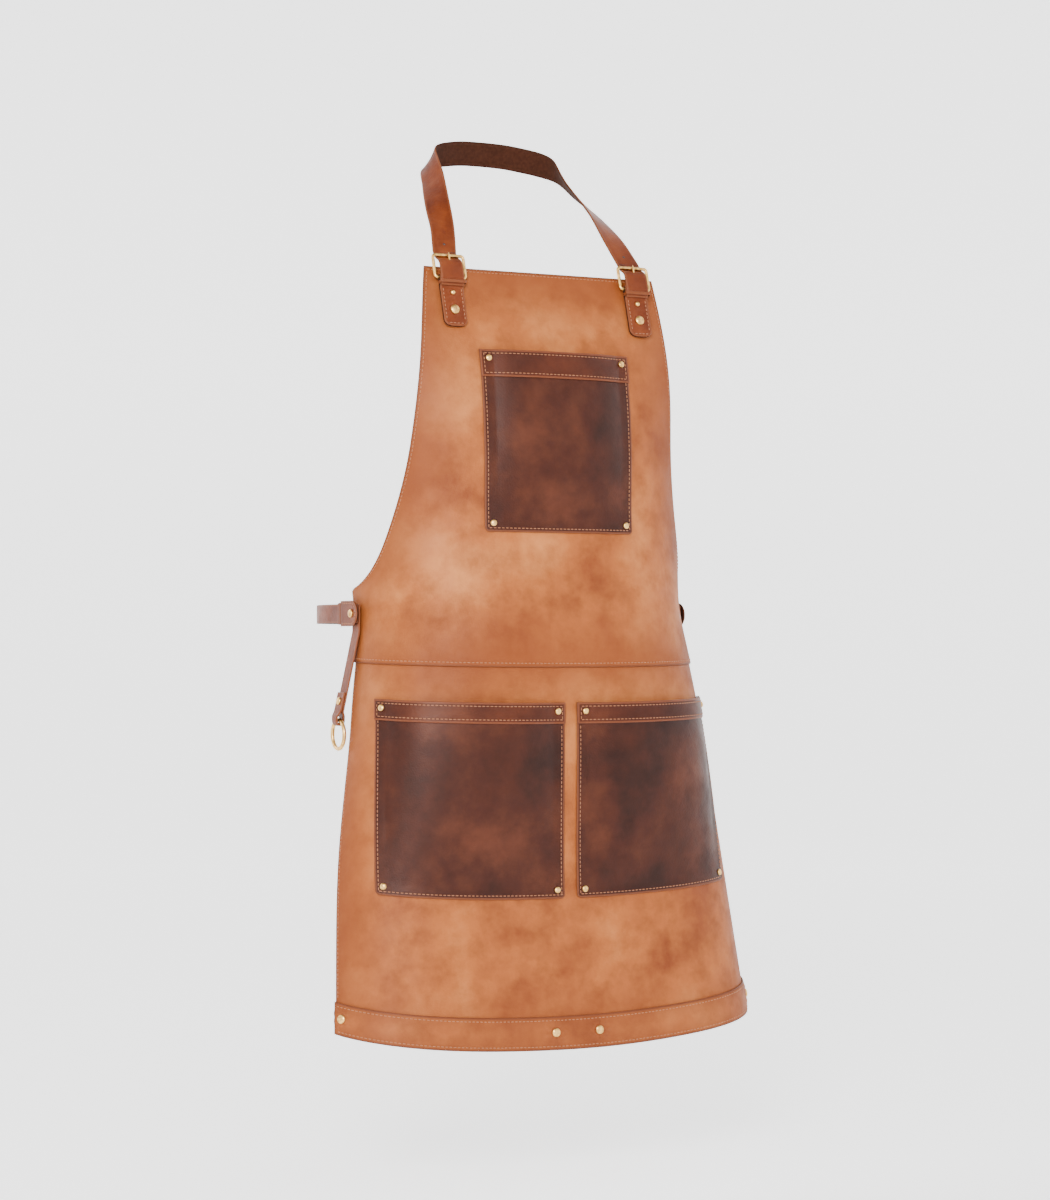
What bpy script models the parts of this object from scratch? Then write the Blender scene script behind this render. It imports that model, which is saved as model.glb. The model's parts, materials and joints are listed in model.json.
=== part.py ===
"""A leather bib apron in its worn shape: panels, pockets, straps, buckles, rivets and studs.

The apron faces -Y with +X to the right as it is seen from the front. Its outer face is one curved
surface: each level is a smooth arc whose turn grows towards the side edges, and every leather layer
lies on that surface at its own distance out. Lengths are in metres. The origin is at the middle of
the neck strap where it rests on the nape.
"""
import math

import bmesh
import bpy
import numpy as np
from mathutils import Matrix, Vector

# Overall cut of the apron
APRON_LENGTH = 0.850
BIB_HALF_WIDTH = 0.143
WAIST_HALF_WIDTH = 0.262
HEM_HALF_WIDTH = 0.281
SEAM_HEIGHT = 0.413
SEAM_LAP = 0.012
SIDE_HEIGHT = 0.495          # where the straight side ends and the armhole curve begins
HEM_LIFT = 0.30              # rise of the hem's corners, per metre of squared distance from the middle

# Worn shape: share of the length, front line's y, side turn in degrees, roundness of the turn
WORN_SHAPE = np.array((
    (0.00, 0.000, 54.0, 3.5),
    (0.21, 0.017, 68.0, 3.0),
    (0.41, 0.016, 88.0, 2.4),
    (0.55, 0.020, 92.0, 1.8),
    (0.66, 0.035, 84.0, 1.7),
    (0.77, 0.038, 92.0, 1.9),
    (0.88, 0.053, 66.0, 2.2),
    (1.00, 0.088, 0.0, 2.2)))
TURN_HALF_WIDTH = 0.262      # where along a level the side turn above is reached

# Leather and clearances
LEATHER = 0.0016
GAP = 0.0004
LAYER = LEATHER + GAP
STRAP_THICKNESS = 0.0022
FIT = 0.0003                 # clearance round pins, bars and posts

# Hem band and its studs
HEM_BAND_HEIGHT = 0.036
HEM_STUD_HEIGHT = 0.019
HEM_STUD_SPREADS = (0.0265, 0.270)
HEM_STUD_RADIUS = 0.0048

# Pockets
POCKET_CORNER = 0.005
POCKET_BULGE = 0.0095
CHEST_POCKET_WIDTH = 0.183
CHEST_POCKET_HEIGHT = 0.199
CHEST_POCKET_TOP = 0.091     # from the bib's top edge down
CHEST_BAND_HEIGHT = 0.030
HIP_POCKET_WIDTH = 0.216
HIP_POCKET_HEIGHT = 0.213
HIP_POCKET_DROP = 0.038      # from the waist seam down
HIP_POCKET_SPLIT = 0.015     # leather left bare between the two
HIP_BAND_HEIGHT = 0.023
POCKET_RIVET_INSET = 0.0095
POCKET_RIVET_RADIUS = 0.0036
POCKET_MARGIN = POCKET_RIVET_INSET + POCKET_RIVET_RADIUS + 0.0008   # lies flat round the edge

# Neck strap, its buckles and the stitched tabs that hold them
STRAP_WIDTH = 0.028
TAB_PLACE = 0.1155           # from the centre line
TAB_BAR_DROP = 0.0145        # heel bar below the bib's top edge
TAB_LENGTH = 0.056
TAB_RIVET_DROP = 0.037
TAB_STUD_DROP = 0.0174
TAB_RIVET_RADIUS = 0.0053
TAB_STUD_RADIUS = 0.0028
BUCKLE_WIRE = 0.0018
BUCKLE_SIDE_CLEARANCE = 0.0026
BUCKLE_HEIGHT = 0.026
PRONG_WIRE = 0.0009
KEEPER_DROP = 0.0064
KEEPER_HEIGHT = 0.0036
KEEPER_THICKNESS = 0.0010
STRAP_END_DROP = 0.0100      # the strap's tip below the heel bar
FLEX_RISE = 0.0060           # where the strap bends, above the buckle's top bar
FLEX_GAP = 0.0020
HOLE_RADIUS = 0.0015
PRONG_HOLE_DROP = 0.0075     # middle of the prong's oval hole below the buckle's top bar
PRONG_HOLE_STRETCH = 3.2

# Neck loop from the flex line round to the nape: out from the centre, back from the bar, above the bar
NECK_POINTS = np.array((
    (0.1080, 0.036, 0.058),
    (0.1006, 0.063, 0.088),
    (0.0883, 0.100, 0.122),
    (0.0770, 0.130, 0.151),
    (0.0400, 0.148, 0.163),
    (0.0000, 0.154, 0.166)))
NECK_ACROSS = np.array((
    (1.00, -0.12, 0.02),
    (0.88, -0.42, 0.20),
    (0.70, -0.52, 0.50),
    (0.40, -0.30, 0.86),
    (0.10, -0.22, 0.98),
    (0.00, -0.22, 1.00)))

# Waist belt and towel strap
WAIST_RIVET_INSET = 0.012    # in from the side edge
WAIST_RIVET_PLACE = WAIST_HALF_WIDTH - WAIST_RIVET_INSET
WAIST_RIVET_DROP = 0.027     # below the top of the straight side
WAIST_TAB_WIDTH = 0.028
WAIST_SWEEP = 0.026          # the straps stay clear of the bib this far round the rivet
WAIST_TAB_FRONT = 0.014
WAIST_TAB_BACK = 0.028
WAIST_STRAP_WIDTH = 0.021
WAIST_STRAP_STRAIGHT = 0.050
WAIST_LOOP_DEPTH = 0.150
WAIST_LOOP_SQUARENESS = 0.72
WAIST_RIVET_RADIUS = 0.0046
WAIST_KEEPER_START = 0.032
WAIST_KEEPER_WIDTH = 0.0065
TOWEL_STRAP_WIDTH = 0.018
TOWEL_STRAP_DROP = 0.116     # ring wire below the waist rivet
TOWEL_STRAP_FLARE = math.radians(12.5)
TOWEL_STRAP_BEND = 0.020
TOWEL_FOLD_RISE = 0.030      # how far the doubled end reaches up again
TOWEL_RIVET_RISE = 0.0125
TOWEL_RIVET_RADIUS = 0.0042
RING_RADIUS = 0.0157
RING_WIRE = 0.0022

POST_RADIUS = 0.0014
ROUND_STEPS = 8
SHEET_STEP = 0.0165
PANEL_STEP = 0.030
PANEL_COLUMNS = 41

# Colour, roughness and metallic value of each material
TAN = (0.44, 0.19, 0.075), 0.55, 0.0
DARK_BROWN = (0.13, 0.043, 0.022), 0.50, 0.0
RED_BROWN = (0.20, 0.060, 0.028), 0.50, 0.0
STRAP_BROWN = (0.22, 0.070, 0.022), 0.48, 0.0
BRASS = (0.72, 0.50, 0.22), 0.25, 1.0


# ---------------------------------------------------------------- the worn surface

def station(z, column):
    """Read one column of the worn shape at height z, along a smooth curve through its stations."""
    heights = WORN_SHAPE[:, 0] * APRON_LENGTH
    values = WORN_SHAPE[:, column]
    slopes = np.gradient(values, heights)
    z = np.clip(np.asarray(z, float), 0.0, APRON_LENGTH)
    i = np.clip(np.searchsorted(heights, z, side="right") - 1, 0, len(heights) - 2)
    step = heights[i + 1] - heights[i]
    t = (z - heights[i]) / step
    return ((2 * t**3 - 3 * t**2 + 1) * values[i] + (t**3 - 2 * t**2 + t) * step * slopes[i]
            + (3 * t**2 - 2 * t**3) * values[i + 1] + (t**3 - t**2) * step * slopes[i + 1])


def worn(along, height, out=0.0):
    """Point on the worn surface: a distance along the level, a height and a distance out of it."""
    along, height, out = np.broadcast_arrays(*(np.asarray(a, float) for a in (along, height, out)))
    turn = np.radians(station(height, 2))
    power = station(height, 3)
    reach = np.abs(along)
    share = (np.arange(24) + 0.5) / 24
    angle = turn[..., None] * (share * reach[..., None] / TURN_HALF_WIDTH) ** power[..., None]
    x = np.cos(angle).mean(-1) * along
    y = np.sin(angle).mean(-1) * reach + station(height, 1)
    end = turn * (reach / TURN_HALF_WIDTH) ** power * np.sign(along)
    lift = HEM_LIFT * (1 - height / APRON_LENGTH) ** 2 * along**2
    return np.stack((x + out * np.sin(end), y - out * np.cos(end), height + lift), -1)


def half_width(height):
    """Half width of the cut: straight sides, then an armhole drawn as one Bezier curve."""
    height = np.asarray(height, float)
    side = HEM_HALF_WIDTH + (WAIST_HALF_WIDTH - HEM_HALF_WIDTH) * height / SIDE_HEIGHT
    rise = APRON_LENGTH - SIDE_HEIGHT
    t = np.linspace(0.0, 1.0, 200)
    weights = ((1 - t)**3, 3 * t * (1 - t)**2, 3 * t**2 * (1 - t), t**3)
    spread = WAIST_HALF_WIDTH - BIB_HALF_WIDTH
    curve_x = np.dot((WAIST_HALF_WIDTH, BIB_HALF_WIDTH + 0.25 * spread,
                      BIB_HALF_WIDTH + 0.19 * spread, BIB_HALF_WIDTH), weights)
    curve_z = SIDE_HEIGHT + rise * np.dot((0.0, 0.05, 0.59, 1.0), weights)
    return np.where(height < SIDE_HEIGHT, side, np.interp(height, curve_z, curve_x))


def local_frame(along, height, out):
    """Frame on the worn surface: x along the level, y inward, z up the leather."""
    step = 0.004
    across = worn(along + step, height, out) - worn(along - step, height, out)
    upward = worn(along, height + step, out) - worn(along, height - step, out)
    across, upward = Vector(across).normalized(), Vector(upward)
    inward = upward.cross(across).normalized()
    frame = Matrix((across, inward, across.cross(inward))).transposed().to_4x4()
    frame.translation = Vector(worn(along, height, out))
    return frame


# ---------------------------------------------------------------- building blocks

def clear_scene():
    for item in list(bpy.data.objects):
        bpy.data.objects.remove(item, do_unlink=True)


def collection(name):
    group = bpy.data.collections.new(name)
    bpy.context.scene.collection.children.link(group)
    return group


def material(name, look):
    colour, roughness, metallic = look
    made = bpy.data.materials.new(name)
    made.use_nodes = True
    shader = made.node_tree.nodes["Principled BSDF"]
    shader.inputs["Base Color"].default_value = (*colour, 1.0)
    shader.inputs["Roughness"].default_value = roughness
    shader.inputs["Metallic"].default_value = metallic
    return made


def add_object(name, mesh, look=None, frame=None):
    """Link a mesh as a part, or as a cutter when it has no look."""
    item = bpy.data.objects.new(name, mesh)
    if frame is not None:
        item.matrix_world = frame
    if look is None:
        item.hide_render = True
        item.display_type = "WIRE"
        CUTTERS.objects.link(item)
    else:
        mesh.materials.append(material(name, look))
        PARTS.objects.link(item)
    return item


def grid_mesh(name, points, closed=False):
    """Mesh an array of points, rows by columns, as an open grid. Closed joins the last row to the first."""
    rows, columns = points.shape[:2]
    shape = bmesh.new()
    bmesh.ops.create_grid(shape, x_segments=columns - 1, y_segments=rows - 1, size=0.5)
    shape.verts.ensure_lookup_table()
    for vert, point in zip(shape.verts, points.reshape(-1, 3)):
        vert.co = point
    if closed:
        edges = [e for e in shape.edges if e.is_boundary and all(
            v.index // columns in (0, rows - 1) for v in e.verts) and
            e.verts[0].index // columns == e.verts[1].index // columns]
        bmesh.ops.bridge_loops(shape, edges=edges)
    mesh = bpy.data.meshes.new(name)
    shape.to_mesh(mesh)
    shape.free()
    return mesh


def thicken(item, thickness, offset):
    solid = item.modifiers.new("thickness", "SOLIDIFY")
    solid.thickness = thickness
    solid.offset = offset
    solid.use_even_offset = True


def pivot(item, place):
    """Put an item's origin on its joint axis and leave its shape where it is."""
    item.data.transform(Matrix.Translation(-place))
    item.matrix_world = Matrix.Translation(place)


def cut(item, cutter):
    bore = item.modifiers.new("cut " + cutter.name, "BOOLEAN")
    bore.operation = "DIFFERENCE"
    bore.object = cutter


def sheet(name, look, columns, rows, place, thickness=LEATHER):
    """Leather sheet whose outer face is place(column, row), thickened inward."""
    u, v = np.meshgrid(columns, rows)
    item = add_object(name, grid_mesh(name, place(u, v)), look)
    thicken(item, thickness, -1.0)
    return item


def steps(low, high, size=SHEET_STEP):
    return np.linspace(low, high, max(2, math.ceil((high - low) / size) + 1))


def ribbon(name, look, centres, across, widths, thickness, closed=False, frame=None):
    """Strap along a line of centres: it lies across the given direction and is thick both ways."""
    centres = np.asarray(centres, float)
    across = np.broadcast_to(np.asarray(across, float), centres.shape)
    widths = np.broadcast_to(np.asarray(widths, float), len(centres))[:, None]
    points = np.stack((centres - across * widths / 2, centres + across * widths / 2), 1)
    item = add_object(name, grid_mesh(name, points, closed), look, frame)
    thicken(item, thickness, 0.0)
    return item


def turned(name, look, profile, frame, segments=ROUND_STEPS):
    """Turn a profile of (radius, height) points, both ends on the axis, about the frame's y axis."""
    mesh = bpy.data.meshes.new(name)
    points = [(radius, -height, 0.0) for radius, height in profile]
    mesh.from_pydata(points, [(i, i + 1) for i in range(len(points) - 1)], [])
    item = add_object(name, mesh, look, frame)
    turn = item.modifiers.new("turn", "SCREW")
    turn.axis = "Y"
    turn.steps = turn.render_steps = segments
    turn.use_merge_vertices = True
    turn.merge_threshold = 0.00001
    turn.use_normal_flip = True
    turn.use_smooth_shade = True
    return item


def rivet(name, frame, radius, depth, dome=0.5):
    """Rivet whose cap stands on the frame's origin and whose post goes inward by depth."""
    rim = 0.0005
    top = [(radius * math.cos(a), FIT + rim + dome * radius * math.sin(a))
           for a in np.linspace(math.pi / 2, 0, 3)]
    back = radius * 0.85
    profile = [(0.0, top[0][1]), *top[1:], (radius, FIT), (POST_RADIUS, FIT), (POST_RADIUS, -depth - FIT),
               (back, -depth - FIT), (back, -depth - FIT - rim), (0.0, -depth - FIT - rim)]
    return turned(name, BRASS, profile, frame)


def wire(name, points, radius, frame, cyclic=False, sides=1):
    """Round wire along points, made a mesh with its caps welded."""
    curve = bpy.data.curves.new(name, "CURVE")
    curve.dimensions = "3D"
    curve.bevel_depth = radius
    curve.bevel_resolution = sides
    curve.use_fill_caps = True
    spline = curve.splines.new("POLY")
    spline.points.add(len(points) - 1)
    for knot, point in zip(spline.points, points):
        knot.co = (*point, 1.0)
    spline.use_cyclic_u = cyclic
    guide = bpy.data.objects.new(name + "_curve", curve)
    bpy.context.scene.collection.objects.link(guide)
    bpy.context.view_layer.update()
    mesh = bpy.data.meshes.new_from_object(guide.evaluated_get(bpy.context.evaluated_depsgraph_get()))
    bpy.data.objects.remove(guide, do_unlink=True)
    shape = bmesh.new()
    shape.from_mesh(mesh)
    bmesh.ops.remove_doubles(shape, verts=shape.verts, dist=0.00001)
    bmesh.ops.recalc_face_normals(shape, faces=shape.faces)
    shape.to_mesh(mesh)
    shape.free()
    mesh.name = name
    mesh.materials.clear()
    mesh.shade_smooth()
    return add_object(name, mesh, BRASS, frame)


def post_holes(name, frames, depth, radius=POST_RADIUS + FIT, sides=8):
    """Cutter of one cylinder for each frame, running inward through the layers under it."""
    shape = bmesh.new()
    for frame in frames:
        turn = Matrix.Rotation(math.pi / 2, 4, "X")
        middle = Matrix.Translation((0.0, depth / 2, 0.0))
        bmesh.ops.create_cone(shape, cap_ends=True, segments=sides, radius1=radius, radius2=radius,
                              depth=depth + 0.006, matrix=frame @ middle @ turn)
    mesh = bpy.data.meshes.new(name)
    shape.to_mesh(mesh)
    shape.free()
    return add_object(name, mesh)


# ---------------------------------------------------------------- panels and pockets

def panel(name, rows, columns, out):
    """Main leather panel, as wide as the cut at each height."""
    shares = np.linspace(-1.0, 1.0, columns)
    return sheet(name, TAN, shares, rows, lambda u, v: worn(u * half_width(v), v, out))


def pocket_place(middle, top, width, height, base):
    """Outer face of a pocket: columns from its middle, rows as a share from the bottom to the top."""
    inner = width / 2 - POCKET_MARGIN

    def place(u, v, extra=0.0):
        corner = np.clip(np.abs(u) - (width / 2 - POCKET_CORNER), 0.0, POCKET_CORNER)
        low = top - height + POCKET_CORNER - np.sqrt(POCKET_CORNER**2 - corner**2)
        level = low + (top - low) * v
        side = 1 - np.clip(np.abs(u) / inner, 0.0, 1.0) ** 3
        rise = np.clip((level - top + height - POCKET_MARGIN) / (height - POCKET_MARGIN), 0.0, 1.0)
        bulge = POCKET_BULGE * side * rise * (2 - rise)
        return worn(middle + u, level, base + LAYER + bulge + extra)

    return place


def pocket(name, middle, top, width, height, band_height, base):
    """Pocket panel, the band along its mouth, and the frames of its four corner rivets."""
    place = pocket_place(middle, top, width, height, base)
    round_end = width / 2 - POCKET_CORNER * np.array((0.0, 0.3, 1.0))
    columns = np.concatenate((-round_end, steps(POCKET_MARGIN - width / 2, width / 2 - POCKET_MARGIN),
                              round_end[::-1]))
    rows = np.concatenate(([0.0], np.linspace(POCKET_MARGIN / height, 1.0, 7)))
    panel_part = sheet(name, DARK_BROWN, columns, rows, place)
    band_rows = np.array((1 - band_height / height, 1.0))
    band_part = sheet(name + "_band", RED_BROWN, columns, band_rows,
                      lambda u, v: place(u, v, LAYER))
    across = width / 2 - POCKET_RIVET_INSET
    places = {"upper": (top - POCKET_RIVET_INSET, 2), "lower": (top - height + POCKET_RIVET_INSET, 1)}
    for row, (level, layers) in places.items():
        frames = [local_frame(middle + side * across, level, base + layers * LAYER) for side in (-1, 1)]
        depth = layers * LAYER + LEATHER
        for frame, side_name in zip(frames, ("left", "right")):
            rivet(f"{name}_rivet_{row}_{side_name}", frame, POCKET_RIVET_RADIUS, depth)
        holes = post_holes(f"{name}_{row}_holes", frames, depth)
        cut(panel_part, holes)
        if row == "upper":
            cut(band_part, holes)
        yield holes


def make_panels():
    """Skirt, the bib lapped over its top edge, the hem band and its studs."""
    skirt = panel("skirt_panel", steps(0.0, SEAM_HEIGHT + SEAM_LAP, PANEL_STEP), PANEL_COLUMNS, 0.0)
    armhole = SIDE_HEIGHT + (APRON_LENGTH - SIDE_HEIGHT) * np.linspace(0.0, 1.0, 15)[1:] ** 1.3
    rows = np.concatenate((steps(SEAM_HEIGHT, SIDE_HEIGHT, PANEL_STEP), armhole))
    bib = panel("bib_panel", rows, PANEL_COLUMNS, LAYER)
    band = panel("hem_band", np.linspace(0.0, HEM_BAND_HEIGHT, 2), PANEL_COLUMNS, LAYER)
    depth = LAYER + LEATHER + GAP
    frames = [local_frame(side * spread, HEM_STUD_HEIGHT, LAYER)
              for spread in HEM_STUD_SPREADS for side in (-1, 1)]
    for number, frame in enumerate(frames, 1):
        rivet(f"hem_stud_{number}", frame, HEM_STUD_RADIUS, depth, dome=0.42)
    holes = post_holes("hem_stud_holes", frames, depth)
    cut(band, holes)
    cut(skirt, holes)
    return skirt, bib


def make_pockets(skirt, bib):
    chest_top = APRON_LENGTH - CHEST_POCKET_TOP
    for holes in pocket("chest_pocket", 0.0, chest_top, CHEST_POCKET_WIDTH, CHEST_POCKET_HEIGHT,
                        CHEST_BAND_HEIGHT, LAYER):
        cut(bib, holes)
    hip_middle = (HIP_POCKET_WIDTH + HIP_POCKET_SPLIT) / 2
    for side, name in ((-1, "left_hip_pocket"), (1, "right_hip_pocket")):
        for holes in pocket(name, side * hip_middle, SEAM_HEIGHT - HIP_POCKET_DROP, HIP_POCKET_WIDTH,
                            HIP_POCKET_HEIGHT, HIP_BAND_HEIGHT, 0.0):
            cut(skirt, holes)


# ---------------------------------------------------------------- buckle tabs and the neck strap

TAB_LEATHER = 0.0018
FOLD_RADIUS = BUCKLE_WIRE + FIT + TAB_LEATHER / 2
FOLD_CLOSED = 0.014          # how far below the bar the folded layers have come together
FRONT_FACE = FOLD_RADIUS - 1.5 * TAB_LEATHER - GAP   # front layer's outer face below there


def tab_frame(side):
    """Frame on a heel bar's axis: x along the bar, y inward, z up the tab, clear of the bib behind."""
    level = APRON_LENGTH - TAB_BAR_DROP
    top = Vector(worn(side * TAB_PLACE, APRON_LENGTH, LAYER))
    foot = Vector(worn(side * TAB_PLACE, level - TAB_LENGTH, LAYER))
    up = Vector((0.0, top.y - foot.y, top.z - foot.z)).normalized()
    across = Vector((1.0, 0.0, 0.0))
    frame = Matrix((across, up.cross(across), up)).transposed().to_4x4()
    frame.translation = Vector(worn(side * TAB_PLACE, level, LAYER))
    u, v = np.meshgrid(TAB_PLACE + np.linspace(-0.5, 0.5, 5) * STRAP_WIDTH,
                       np.linspace(level - TAB_LENGTH, APRON_LENGTH, 9))
    back = frame.inverted()
    proud = min((back @ Vector(p)).y for p in worn(side * u, v, LAYER).reshape(-1, 3))
    out = FOLD_RADIUS + TAB_LEATHER / 2 + GAP - proud
    return frame @ Matrix.Translation((0.0, -out, 0.0))


def ease(t):
    t = np.clip(t, 0.0, 1.0)
    return t * t * (3 - 2 * t)


def front_layer(z):
    """Middle of the tab's front layer: it leaves the fold and closes on the back layer."""
    closed = FOLD_RADIUS - TAB_LEATHER - GAP
    return -FOLD_RADIUS + (closed + FOLD_RADIUS) * ease(-np.asarray(z) / FOLD_CLOSED)


def make_tab(name, frame):
    """Strip folded over the heel bar, slotted for the prong, with rounded lower corners."""
    fold = np.linspace(0.0, math.pi, 9)
    down = np.concatenate((-np.linspace(0.0, FOLD_CLOSED, 8), [-0.03],
                           -TAB_LENGTH + np.array((0.006, 0.002, 0.0))))
    path = [(0.0, FOLD_RADIUS, z) for z in down[:0:-1]]
    path += [(0.0, FOLD_RADIUS * math.cos(a), FOLD_RADIUS * math.sin(a)) for a in fold]
    path += [(0.0, front_layer(z), z) for z in down[1:]]
    widths = [STRAP_WIDTH - 2 * corner_cut(point[2] + TAB_LENGTH) for point in path]
    tab = ribbon(name, STRAP_BROWN, path, (1.0, 0.0, 0.0), widths, TAB_LEATHER, frame=frame)
    slot = bmesh.new()
    size = (2 * (PRONG_WIRE + FIT) + 0.0004, 0.012, 0.0098)
    bmesh.ops.create_cube(slot, size=1.0, matrix=frame @ Matrix.Translation((0, 0, 0.0004))
                          @ Matrix.Diagonal((*size, 1.0)))
    mesh = bpy.data.meshes.new(name + "_slot")
    slot.to_mesh(mesh)
    slot.free()
    cut(tab, add_object(name + "_slot", mesh))
    return tab


def corner_cut(rise, radius=0.006):
    """How far a rounded corner takes the edge in, at a height above the end."""
    rise = min(max(rise, 0.0), radius)
    return radius - math.sqrt(radius**2 - (radius - rise) ** 2)


def make_keeper(name, frame):
    """Closed leather loop round the tab's front layer and the strap's end."""
    half = STRAP_WIDTH / 2 + 2 * FIT + KEEPER_THICKNESS / 2
    back = FOLD_RADIUS - TAB_LEATHER / 2 - FIT - KEEPER_THICKNESS / 2
    top = front_layer(KEEPER_HEIGHT / 2 - KEEPER_DROP) - TAB_LEATHER / 2 - GAP - STRAP_THICKNESS
    front = top - 2 * FIT - KEEPER_THICKNESS / 2
    middle, depth = (back + front) / 2, (back - front) / 2
    ring = []
    for corner in range(4):
        for a in np.linspace(0, math.pi / 2, 4) + corner * math.pi / 2:
            x = math.copysign(half - KEEPER_THICKNESS, math.cos(corner * math.pi / 2 + 0.7))
            y = math.copysign(depth - KEEPER_THICKNESS, math.sin(corner * math.pi / 2 + 0.7))
            ring.append((x + KEEPER_THICKNESS * math.cos(a), middle + y + KEEPER_THICKNESS * math.sin(a),
                         -KEEPER_DROP))
    ribbon(name, STRAP_BROWN, ring, (0.0, 0.0, 1.0), KEEPER_HEIGHT, KEEPER_THICKNESS, True, frame)


def make_buckle(side_name, frame):
    """Wire frame with its heel bar in the fold, and the prong that hangs on that bar."""
    half = STRAP_WIDTH / 2 + BUCKLE_SIDE_CLEARANCE + BUCKLE_WIRE
    corner = 0.0032
    path = []
    for quarter, (x, z) in enumerate(((1, 1), (-1, 1), (-1, 0), (1, 0))):
        centre = Vector((x * (half - corner), 0.0, BUCKLE_HEIGHT - corner if z else corner))
        for a in np.linspace(0, math.pi / 2, 4) + quarter * math.pi / 2:
            path.append(centre + corner * Vector((math.cos(a), 0.0, math.sin(a))))
    wire(side_name + "_buckle_frame", path, BUCKLE_WIRE, frame, cyclic=True)
    eye = BUCKLE_WIRE + FIT + PRONG_WIRE
    prong = [(0.0, -eye, z) for z in (BUCKLE_HEIGHT + 0.0028, BUCKLE_HEIGHT, 0.012)]
    prong += [(0.0, -eye * math.cos(a), -eye * math.sin(a)) for a in np.linspace(0, 1.33 * math.pi, 9)]
    wire(side_name + "_buckle_prong", prong, PRONG_WIRE, frame)


def strap_end_path():
    """Neck strap's middle line by its buckle: tip, over the heel bar, behind the top bar, flex line."""
    lie = TAB_LEATHER / 2 + GAP + STRAP_THICKNESS / 2
    over = FOLD_RADIUS + lie
    tip = [(float(front_layer(z)) - lie, z) for z in np.linspace(-STRAP_END_DROP, -0.002, 6)]
    behind = BUCKLE_WIRE + STRAP_THICKNESS / 2 + 2 * FIT
    top = BUCKLE_HEIGHT
    return [*tip, (-over, 0.002), (-over + 0.0001, 0.009), (-over + 0.0007, 0.0155),
            (-over * 0.42, top - 0.0062), (behind * 0.7, top - 0.0018), (behind * 1.55, top + 0.0035),
            (behind * 1.9, top + FLEX_RISE)]


def smooth_line(keys, count):
    """Even points along a smooth curve through the keys. Each key may carry further columns."""
    keys = np.asarray(keys, float)
    chords = np.linalg.norm(np.diff(keys[:, :3], axis=0), axis=1)
    marks = np.concatenate(([0.0], np.cumsum(np.sqrt(chords))))
    slopes = np.gradient(keys, marks, axis=0)
    fine = np.linspace(0.0, marks[-1], 40 * len(keys))
    i = np.clip(np.searchsorted(marks, fine, side="right") - 1, 0, len(keys) - 2)
    step = (marks[i + 1] - marks[i])[:, None]
    t = (fine - marks[i])[:, None] / step
    line = ((2 * t**3 - 3 * t**2 + 1) * keys[i] + (t**3 - 2 * t**2 + t) * step * slopes[i]
            + (3 * t**2 - 2 * t**3) * keys[i + 1] + (t**3 - t**2) * step * slopes[i + 1])
    run = np.concatenate(([0.0], np.cumsum(np.linalg.norm(np.diff(line[:, :3], axis=0), axis=1))))
    even = np.linspace(0.0, run[-1], count)
    return np.stack([np.interp(even, run, column) for column in line.T], 1)


def squared(line, across):
    """Directions across, turned square to the line and made unit length."""
    along = np.gradient(line, axis=0)
    along /= np.linalg.norm(along, axis=1, keepdims=True)
    across = across - along * (across * along).sum(1, keepdims=True)
    return across / np.linalg.norm(across, axis=1, keepdims=True)


def make_neck_strap(frames):
    """One strap in three solids: an end held in each buckle, and the loop that flexes above them."""
    ends = {}
    for side, name in ((-1, "left"), (1, "right")):
        keys = [(*(frames[side] @ Vector((0.0, y, z))), 1.0, 0.0, 0.0) for y, z in strap_end_path()]
        line = smooth_line(keys, 26)
        ends[side] = Vector(line[-1, :3])
        gap_rows = np.linalg.norm(line[:, :3] - line[-1, :3], axis=1) > FLEX_GAP / 2
        line = line[gap_rows]
        strap = ribbon(name + "_strap_end", STRAP_BROWN, line[:, :3], (1.0, 0.0, 0.0), STRAP_WIDTH,
                       STRAP_THICKNESS)
        hole_place = frames[side] @ Matrix.Translation((0.0, -0.006, BUCKLE_HEIGHT - PRONG_HOLE_DROP))
        hole_place = hole_place @ Matrix.Diagonal((1.0, 1.0, PRONG_HOLE_STRETCH, 1.0))
        cut(strap, post_holes(name + "_prong_hole", [hole_place], 0.006, HOLE_RADIUS, 10))
    bar = frames[-1].translation
    half = [(-x, bar.y + y, bar.z + z, *across)
            for (x, y, z), across in zip(NECK_POINTS, NECK_ACROSS)]
    mirrored = [(-x, y, z, -ax, ay, az) for x, y, z, ax, ay, az in half[-2::-1]]
    keys = [(*ends[-1], 1.0, 0.0, 0.0), *half, *mirrored, (*ends[1], -1.0, 0.0, 0.0)]
    line = smooth_line(keys, 56)
    away = [np.linalg.norm(line[:, :3] - np.array(ends[side]), axis=1) > FLEX_GAP / 2 for side in (-1, 1)]
    line = line[away[0] & away[1]]
    across = squared(line[:, :3], line[:, 3:])
    loop = ribbon("neck_strap", STRAP_BROWN, line[:, :3], across, STRAP_WIDTH, STRAP_THICKNESS)
    pivot(loop, (ends[-1] + ends[1]) / 2)


def depth_to_lining(place, along):
    """How deep under a rivet's place the inner face of the bib lies."""
    face = Vector(worn(along, place.translation.z, LAYER))
    return (place.inverted() @ face).y + LEATHER + 2 * GAP


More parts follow.
